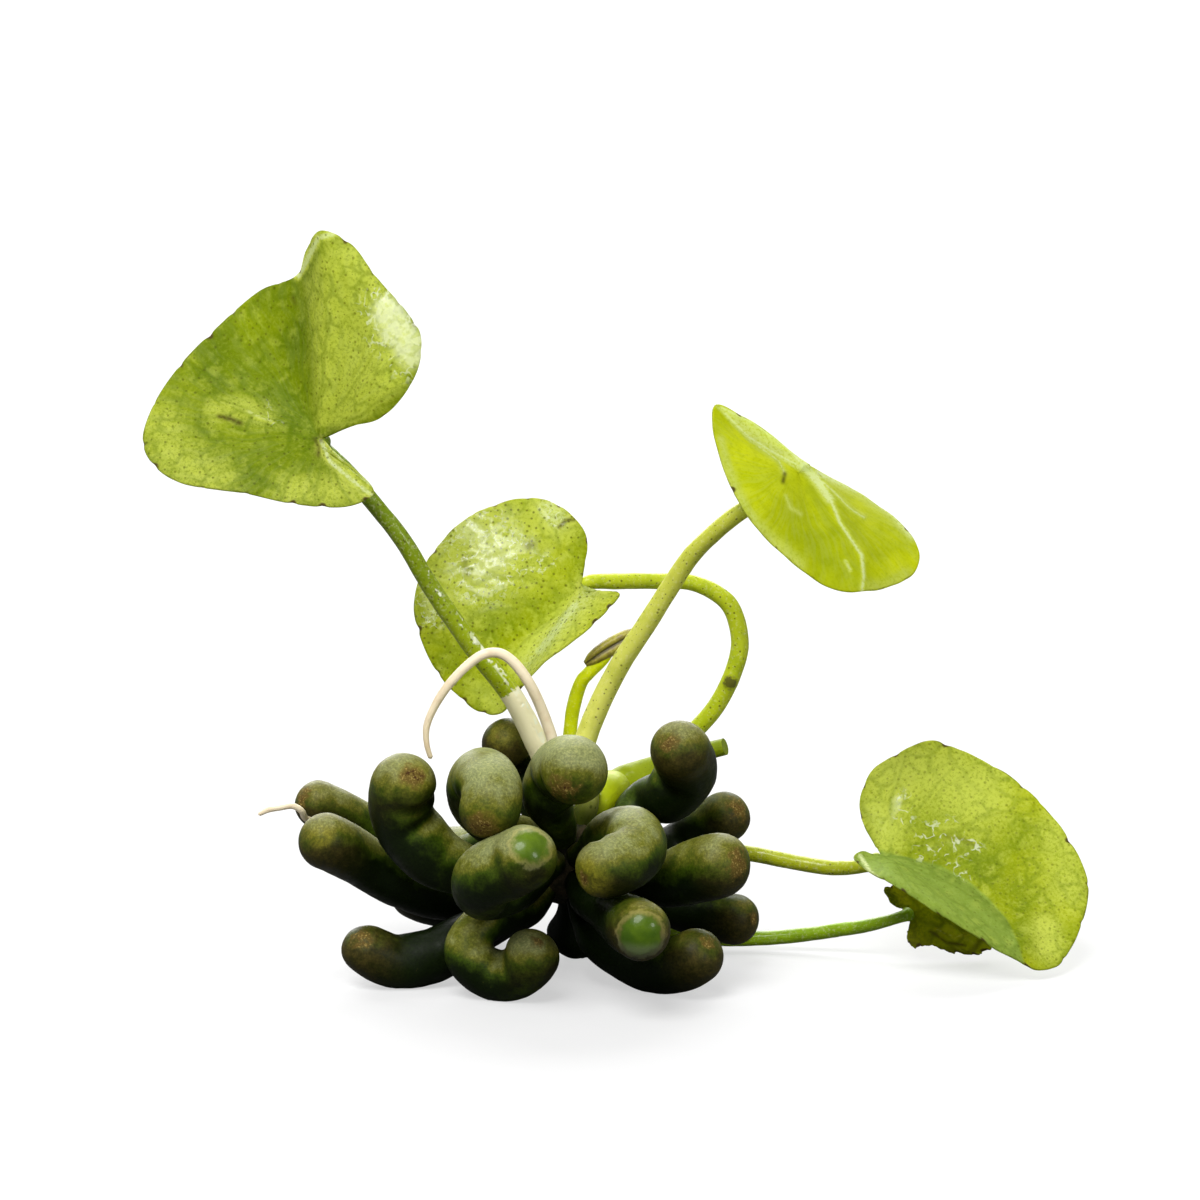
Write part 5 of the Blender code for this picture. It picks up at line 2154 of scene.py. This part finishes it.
# Each blade: its finish, where its stalk joins, the side it faces, its outline and its strokes
# Shade strokes paint shade, many Pale strokes paint highlights and sheen, Wet strokes carry painted glints,
# Dull paints sheen
BLADES = (
    Blade(
        "blade_upper_left", "leaf upper left", Tissue.FRESH_LEAF, (-29, -1, 65.6), (0.15, -0.95, 0.3),
        ((-28, -1.5, 67), (-25.5, -3, 67.5, 0.2), (-22, -5, 68.5, 0.5), (-19, -6.5, 71.5, 0.6),
         (-17, -7.5, 75.5, 0.6), (-17, -7.3, 79, 0.6), (-18.5, -6.5, 81.2, 0.4), (-22.5, -5, 85.7, 0.2),
         (-25, -4.5, 89), (-28.5, -4, 90.6, 0, -0.5), (-30.5, 0, 88, 0, -2.2), (-32, 3, 84.5, -0.6, -1),
         (-36.5, 4.5, 82.5, -0.8), (-42, 4, 77.8, -0.7), (-46, 2, 73.8, -0.5), (-49, -1, 69.3, -0.3),
         (-50, -3.5, 65.5), (-48.7, -5, 63), (-45.5, -6, 61), (-37.5, -7, 59.8, 0.3), (-31.5, -7, 58.5, 0.5),
         (-25.5, -6.2, 58.2, 0.4), (-22.6, -5.2, 59.6, 0.3, 0.3), (-25, -4.2, 62.3, 0.2, 0.6),
         (-28.8, -2.2, 64.6, 0, 0.3)),
        strokes=(
            Shade(4.6, 0.55, ((317, 428), (288, 396), (252, 375)), lift=-0.5),
            Shade(1.8, 0.8, ((317, 428), (304, 410), (284, 388))),
            Shade(3.4, 0.5, ((300, 395), (296, 340), (303, 290)), lift=-0.3),
            Shade(1.2, 0.55, ((312, 262), (319, 243))),
            Shade(0.8, 0.7, ((240, 424), (273, 424), (316, 433))),
            Shade(0.5, 0.8, ((301, 357), (303, 360))),
            Shade(0.5, 0.6, ((264, 341), (266, 343))),
            Shade(3.2, 0.35, ((230, 458), (270, 462), (308, 462))),
            Fold(4.6, 0.0, ((372, 275), (385, 335), (375, 385)), lift=2.0),
            Pale(
                1.6, 0.42,
                ((326, 420), (324, 372), (321, 322), (316, 284), (330, 256), (352, 252), (385, 300),
                 (404, 345), (398, 385), (362, 412)), area=True),
            Pale(3.0, 0.32, ((338, 248), (352, 275), (362, 310))),
            Pale(3.5, 0.36, ((160, 425), (175, 462), (215, 478))),
            Pale(2.0, 0.34, ((215, 412), (240, 408), (262, 416))),
            Pale(2.5, 0.4, ((290, 492), (330, 492), (350, 488))),
            Pale(0.4, 0.75, ((246, 411), (258, 417), (271, 422))),
            Pale(1.1, 0.6, ((324, 448), (340, 468), (360, 488), (378, 500))),
            Pale(0.3, 1.0, ((321, 441), (330, 462), (346, 476), (372, 496)), lift=0.2),
            Pale(0.22, 1.0, ((327, 444), (344, 463), (380, 492))),
            Pale(0.5, 1.1, ((333, 234), (319, 238), (307, 262), (299, 276))),
            Brown(0.3, 0.7, ((315, 440), (319, 448), (318, 456))),
            Wet(3.4, 1.15, ((388, 312), (396, 330), (408, 342), (412, 352))),
            Wet(0.8, 0.5, ((264, 404), (272, 422), (282, 428))),
            Brown(0.28, 0.95, ((219, 417), (231, 420), (240, 424))),
            Brown(0.25, 0.7, ((322, 437), (321, 442))),
            Brown(0.3, 0.5, ((293, 298), (296, 303))),
        ), seed=3),
    Blade(
        "blade_centre", "leaf centre", Tissue.FRESH_LEAF, (1.75, 13, 45.5), (-0.1, -0.8, 0.6),
        ((2, 13.6, 46.7), (2.6, 15, 49.3, 0.3), (2.5, 16, 51, 0.4), (1.2, 17.3, 52.8, 0.3),
         (-1.5, 18.2, 54.7, 0.5), (-5.5, 18.5, 55.2, 0.5), (-10, 18, 54, 0.5), (-14, 17, 51.5, 0.5),
         (-17.2, 15.5, 47.5, 0.4), (-18.6, 13.6, 43, 0.4), (-18, 12, 39.8, 0.4), (-16.2, 10, 36, 0.3),
         (-13.5, 8.6, 32.8), (-10.5, 8.3, 30.5), (-8, 7.5, 30.5), (-5.5, 5.6, 33.8, -0.3),
         (-3, 5, 36.9, -0.5), (1.5, 5.5, 40.2, -0.6), (5, 7.5, 43.2, -0.4), (6.6, 9.3, 45, -0.2),
         (4.5, 10.8, 44.9), (2.5, 11.9, 44.9)),
        strokes=(
            Fold(1.6, 0.0, ((584, 596), (560, 613), (530, 630), (499, 648)), lift=-0.6, sharp=True),
            Shade(2.2, 0.5, ((575, 588), (545, 605), (510, 625), (480, 650))),
            Shade(4.5, 0.45, ((505, 610), (480, 630), (462, 665))),
            Pale(2.3, 0.7, ((592, 590), (566, 620), (546, 645), (529, 666))),
            Pale(0.9, 0.95, ((576, 606), (552, 637), (540, 652))),
            Pale(3.8, 0.66, ((455, 518), (442, 545))),
            Pale(6.0, 0.6, ((470, 530), (500, 548), (450, 575))),
            Pale(2.5, 0.8, ((549, 508), (558, 520))),
            Pale(1.6, 0.55, ((478, 690), (498, 706))),
            Wet(4.4, 0.85, ((470, 532), (500, 556), (482, 572))),
            Wet(1.8, 0.8, ((424, 588), (432, 618))),
            Wet(1.6, 0.6, ((530, 568), (548, 562))),
            Wet(1.3, 0.7, ((549, 508), (556, 520))),
            Brown(0.22, 1.0, ((559, 528), (566, 521), (574, 520))),
            Brown(0.5, 0.7, ((528, 547), (531, 545))),
            Brown(0.4, 0.4, ((464, 560), (468, 575))),
        ), pebble=0.06, seed=5),
    Blade(
        "blade_upper_right", "leaf upper right", Tissue.FRESH_LEAF, (27.75, 0, 61), (0.0, -0.75, 0.65),
        ((29.4, 1.6, 61.6), (28.2, 1.6, 62.6, 0, 0.1), (26, 1.5, 64.5, 0, 0.3), (23.5, 1.5, 66.5, 0, 0.4),
         (21, 1, 68, 0, 0.6), (18, 0, 69.5, 0, 0.6), (17.6, -2, 67.4, 0.3), (18, -4, 65.2, 0.5),
         (19.5, -7, 61, 0.7), (21.5, -9, 57.6, 0.8), (24.5, -10, 54.2, 0.8), (27.7, -11, 51.5, 0.6),
         (31, -11, 49.4, 0.3), (32.8, -10.8, 48.7, 0.2), (35, -9.7, 48.5, 0.3), (38.5, -6, 48.5, 0.4),
         (41.5, -2, 49.2, 0.5), (42.5, 1.5, 51.3, 0.5, 0.2), (40.5, 4.3, 54.3, 0.4, 0.5),
         (36.5, 5, 57.3, 0.3, 0.4), (32, 3.5, 60, 0.1, 0.2), (28.6, 1.0, 61.9)),
        strokes=(
            Pale(
                0.24, 1.1,
                ((797, 456), (815, 475), (829, 497), (839, 523), (861, 556), (863, 577), (861, 595))),
            Fold(
                1.7, 0.0,
                ((803, 462), (815, 475), (829, 497), (839, 523), (861, 556), (863, 577), (861, 595)),
                 lift=0.9, sharp=True),
            Pale(0.25, 0.7, ((717, 407), (743, 430), (770, 443), (797, 454))),
            Pale(
                0.3, 0.72,
                ((718, 406), (740, 413), (760, 423), (782, 441), (799, 456), (812, 473), (803, 472),
                 (788, 464), (768, 452), (750, 442), (733, 425)), area=True),
            Pale(0.28, 1.1, ((722, 408), (752, 422), (785, 446), (806, 470))),
            Pale(0.25, 1.0, ((724, 413), (748, 438), (772, 453), (798, 466))),
            Pale(0.6, 1.2, ((802, 466), (818, 484), (829, 500))),
            Fold(0.9, 0.0, ((717, 409), (743, 432), (770, 445), (797, 456)), lift=-0.35, sharp=True),
            Pale(0.3, 0.9, ((757, 447), (778, 462), (783, 473)), lift=-0.2, sharp=True),
            Pale(0.24, 1.0, ((807, 470), (834, 494), (850, 510), (863, 518)), lift=0.2, sharp=True),
            Pale(0.9, 1.0, ((818, 473), (861, 491), (893, 513), (912, 535))),
            Pale(0.22, 0.7, ((785, 497), (790, 509), (800, 515)), lift=0.15, sharp=True),
            Pale(0.25, 0.8, ((845, 562), (850, 571))),
            Pale(0.9, 0.55, ((722, 459), (738, 497), (749, 518), (770, 539), (797, 563))),
            Pale(1.1, 0.4, ((905, 575), (888, 585), (866, 588))),
            Shade(3.6, 0.5, ((790, 520), (822, 555), (842, 578))),
            Pale(0.5, 0.6, ((720, 440), (736, 490), (762, 532), (800, 566))),
            Shade(1.2, 0.5, ((812, 490), (830, 530), (852, 560), (855, 585))),
            Shade(1.4, 0.35, ((833, 500), (860, 540), (876, 555))),
            Brown(0.25, 0.9, ((784, 475), (782, 483))),
        ), spokes=520, rows=80, pebble=0.02, nick_gap=11.0, nick_depth=0.06, seed=7),
    Blade(
        "blade_right", "leaf right", Tissue.FRESH_LEAF, (38.75, 4.5, 13.25), (-0.1, -0.6, 0.8),
        ((37.8, 5.8, 14.6), (36.3, 8.2, 17, 0.2), (36.2, 9.8, 19.5, 0.4), (38, 11.7, 22.7, 0.5),
         (41.5, 12.7, 24.7, 0.5), (44.5, 13, 25.8, 0.4), (48.5, 13, 24.8, 0.4), (54, 12, 22, 0.4),
         (58.5, 10, 18.5, 0.3), (62, 7.3, 14, 0.3), (63.7, 5, 10.2, 0.3), (63.3, 2.5, 7, 0.3),
         (61.5, -1, 3.7, 0.1), (59.3, -3.7, 1.6), (57, -5, 1.3), (54.5, -6, 2.8), (51, -7.2, 5, -0.1),
         (46, -7.5, 8.2, -0.4), (40.5, -6, 11.4, -0.3, 0.1), (37, -3, 12.9, 0, 0.4), (35, 0.5, 14, 0, 0.5),
         (36, 2.7, 14.3, 0, 0.1), (37.7, 4, 13.6)),
        strokes=(
            Fold(3.2, 0.0, ((900, 872), (964, 914), (1015, 950)), lift=2.0),
            Fold(
                2.2, 0.0,
                ((889, 857), (912, 861), (935, 867), (956, 874), (970, 883), (987, 900), (1002, 915),
                 (1013, 932)), lift=-1.3, sharp=True),
            Dull(
                0.25, 0.9,
                ((862, 846), (884, 854), (912, 861), (940, 868), (966, 882), (987, 900), (1004, 920),
                 (1016, 945), (1022, 966), (983, 962), (940, 940), (900, 905), (850, 870)), area=True),
            Pale(2.2, 0.5, ((1046, 928), (1048, 948))),
            Pale(0.45, 1.0, ((859, 856), (870, 873), (890, 889))),
            Pale(5.5, 0.5, ((890, 775), (940, 775), (975, 795))),
            Pale(3.2, 0.55, ((873, 812), (885, 830))),
            Pale(4.0, 0.35, ((1060, 830), (1068, 890))),
            Shade(2.6, 0.5, ((893, 846), (945, 852), (985, 866), (1013, 895), (1030, 930))),
            Shade(3.4, 0.3, ((950, 825), (985, 835), (1010, 860))),
            Wet(1.5, 0.66, ((902, 800), (903, 822), (930, 834), (948, 826))),
            Wet(1.8, 0.68, ((925, 852), (945, 842), (972, 848))),
            Wet(1.0, 0.6, ((945, 855), (966, 878))),
            Brown(0.25, 0.4, ((945, 837), (965, 840), (976, 846))),
        ), seed=9),
    Blade(
        "blade_old", "leaf old", Tissue.OLD_LEAF, (42.5, 7, 5.75), (0.1, -0.7, 0.7),
        ((41, 7.2, 6.2), (39.8, 7.5, 6.8), (39.2, 8.5, 8.5), (42, 8.6, 8.6), (47, 8.5, 7.7), (50.8, 8.4, 6),
         (52.8, 7.3, 3), (52, 5.7, 1.3), (50, 4.7, 0.9), (47.5, 4.5, 1.2), (45, 4.8, 1.9), (42.5, 5, 1.8),
         (41.8, 5.6, 2.8), (42.6, 6.4, 4.6)),
        strokes=(
            Brown(0.35, 0.6, ((912, 943), (934, 951), (968, 953), (984, 938))),
            Brown(0.2, 0.9, ((930, 932), (947, 943), (965, 946))),
            Pale(0.8, 0.5, ((895, 885), (905, 900))),
            Pale(0.3, 0.6, ((936, 930), (955, 938), (975, 932))),
        ),
        pebble=0.12, ragged=0.35, smoothing=6.0, nick_gap=2.0, seed=11),
)


# Every finish, by whose name a piece asks for it
FINISHES = (
    TuberSkin(),
    CrownTissue(),
    RootTissue(),
    BudTissue(),
    StalkTissue(
        "green stalk", tip=(0.13, 0.2, 0.001), foot=(0.46, 0.56, 0.005), streak=(0.16, 0.24, 0.001), glint=0.8
    ),
    StalkTissue(
        "arched stalk", tip=(0.56, 0.64, 0.02), foot=(0.48, 0.56, 0.01), streak=(0.32, 0.42, 0.004), glint=0.6
    ),
    StalkTissue(
        "bright stalk", tip=(0.38, 0.42, 0.008), foot=(0.38, 0.43, 0.008), streak=(0.28, 0.33, 0.004)
    ),
    StalkTissue(
        "pale stalk", tip=(0.54, 0.57, 0.05), foot=(0.76, 0.77, 0.16), streak=(0.46, 0.5, 0.04), relief=0.12,
        wetness=0.3,
    ),
    StalkTissue(
        "dark stalk", tip=(0.22, 0.36, 0.002), foot=(0.3, 0.46, 0.004), streak=(0.14, 0.24, 0.001), dots=0.0
    ),
    StalkTissue(
        "shoot stalk", tip=(0.72, 0.8, 0.004), foot=(0.66, 0.74, 0.004), streak=(0.45, 0.54, 0.002), dots=0.0
    ),
    StalkTissue(
        "broad stalk", tip=(0.18, 0.24, 0.003), foot=(0.42, 0.5, 0.002), streak=(0.26, 0.32, 0.002),
        bleached=(0.5, 0.54, 0.02), dots=0.3, wetness=0.0, driest=0.6,
    ),
    LeafTissue(
        "leaf upper left", bright=(0.31, 0.39, 0.002), green=(0.15, 0.225, 0.001), streaks=0.06, patches=0.3
    ),
    LeafTissue(
        "leaf centre", bright=(0.58, 0.63, 0.006), green=(0.38, 0.45, 0.003), dots=1.25, dot_gap=0.9,
        pebble=0.6, relief=0.2, driest=0.5, veins=0.35,
    ),
    LeafTissue(
        "leaf upper right", bright=(0.76, 0.8, 0.003), green=(0.62, 0.68, 0.002), deep=(0.22, 0.3, 0.001),
        dots=0.0, patches=0.12, veins=0.15, streaks=0.07, relief=0.1, glow=0.55,
    ),
    LeafTissue(
        "leaf right", bright=(0.5, 0.55, 0.004), green=(0.34, 0.41, 0.002), underside=(0.29, 0.42, 0.07),
        patches=0.42, veins=0.36, dot_gap=0.85, dots=0.7,
    ),
    LeafTissue(
        "leaf old", bright=(0.44, 0.46, 0.004), green=(0.07, 0.1, 0.002), deep=(0.02, 0.025, 0.001),
        pale=(0.45, 0.42, 0.01), underside=(0.14, 0.14, 0.01), dots=0.0, patches=0.8, relief=0.6, glow=0.3,
    ),
)


def build_materials(effects: Effects) -> dict[str, bpy.types.Material]:
    """Build every finish's material.

    Args:
        effects: The shared shader groups.

    Returns:
        The materials by name.
    """
    return {finish.name: finish.material(effects) for finish in FINISHES}


@dataclass(frozen=True)
class Skylight:
    """A broad soft light from far away: where it shines from, how wide it is in degrees, and its strength."""

    name: str
    direction: Row
    spread: float
    strength: float

    def build(self) -> None:
        """Hang the light."""
        data = bpy.data.lights.new(self.name, "SUN")
        data.angle = math.radians(self.spread)
        data.energy = self.strength
        lamp = linked(self.name, data)
        lamp.rotation_euler = Vector(self.direction).to_track_quat("Z", "Y").to_euler()


@dataclass(frozen=True)
class Studio:
    """The pale floor, the soft light and the camera."""

    floor_size: float = 60.0
    floor_seen: Colour = (0.3, 0.3, 0.3)
    floor_shine: float = 0.55
    floor_bounce: Colour = (0.14, 0.14, 0.14)
    sky: float = 0.36
    lights: tuple[Skylight, ...] = (
        Skylight("front softbox", (-0.25, -0.6, 0.85), 30.0, 3.0),
        Skylight("side softbox", (0.65, -0.7, 0.35), 14.0, 0.7),
        Skylight("back softbox", (-0.1, 0.85, 0.6), 60.0, 4.6),
    )

    def build(self, place: Place) -> None:
        """Set up the whole studio.

        Args:
            place: Where the shapes lie in the frame.
        """
        self.floor()
        self.surroundings()
        for light in self.lights:
            light.build()
        self.camera(Vector(place.metres([PHOTO.centre])[0]))
        bpy.context.scene.view_settings.view_transform = "Standard"

    def surroundings(self) -> None:
        """Surround the plant with an even white, dim for light and bright to look at."""
        world = bpy.data.worlds.new("studio")
        world.use_nodes = True
        wires = Wiring(world.node_tree)
        seen = wires.node("ShaderNodeLightPath").outputs["Is Camera Ray"]
        strength = wires.plus(self.sky, wires.times(seen, 1.0 - self.sky))
        wires.feed(world.node_tree.nodes["Background"].inputs["Color"], (1.0, 1.0, 1.0, 1.0))
        wires.feed(world.node_tree.nodes["Background"].inputs["Strength"], strength)
        bpy.context.scene.world = world

    def floor(self) -> None:
        """Lay the pale floor, which looks brighter than the light that it throws back at the plant."""
        shape = bmesh.new()
        bmesh.ops.create_grid(shape, x_segments=1, y_segments=1, size=self.floor_size / 2)
        mesh = bpy.data.meshes.new("floor")
        shape.to_mesh(mesh)
        shape.free()
        material = bpy.data.materials.new("pale floor")
        material.use_nodes = True
        wires = Wiring(material.node_tree)
        shader = material.node_tree.nodes["Principled BSDF"]
        seen = wires.node("ShaderNodeLightPath").outputs["Is Camera Ray"]
        wires.feed(shader.inputs["Base Color"], wires.colours(seen, self.floor_bounce, self.floor_seen))
        wires.feed(shader.inputs["Emission Color"], wires.colours(seen, (0.0, 0.0, 0.0), (1.0, 1.0, 1.0)))
        shader.inputs["Emission Strength"].default_value = self.floor_shine
        shader.inputs["Roughness"].default_value = 1.0
        shader.inputs["Specular IOR Level"].default_value = 0.0
        mesh.materials.append(material)
        floor = linked("floor", mesh)

    def camera(self, target: Vector) -> None:
        """Place the camera at the photograph's angle.

        Args:
            target: The place that it looks at, in the frame's metres.
        """
        data = bpy.data.cameras.new("camera")
        data.sensor_width = SENSOR_WIDTH
        data.lens = SENSOR_WIDTH * PHOTO.distance / PHOTO.width
        data.clip_start = 0.01
        camera = linked("camera", data)
        tilt = math.radians(PHOTO.elevation)
        away = Vector((0.0, -math.cos(tilt), math.sin(tilt)))
        camera.location = target + away * PHOTO.distance * MM
        camera.rotation_euler = (math.pi / 2 - tilt, 0.0, 0.0)
        bpy.context.scene.camera = camera


def main() -> None:
    logging.basicConfig(level=logging.INFO, format="%(message)s")
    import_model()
    place = Place.from_frame()
    effects = Effects()
    house = Greenhouse(place, tube_tree(), build_materials(effects))
    Studio().build(place)
    Crown().build(house)
    for number, tuber in enumerate(TUBERS):
        tuber.build(house, number)
    for number, stalk in enumerate(STALKS):
        stalk.build(house, number)
    SMALL_ROOT.build(house)
    ROLLED_LEAF.build(house)
    for blade in BLADES:
        blade.build(house)


if __name__ == "__main__":
    main()
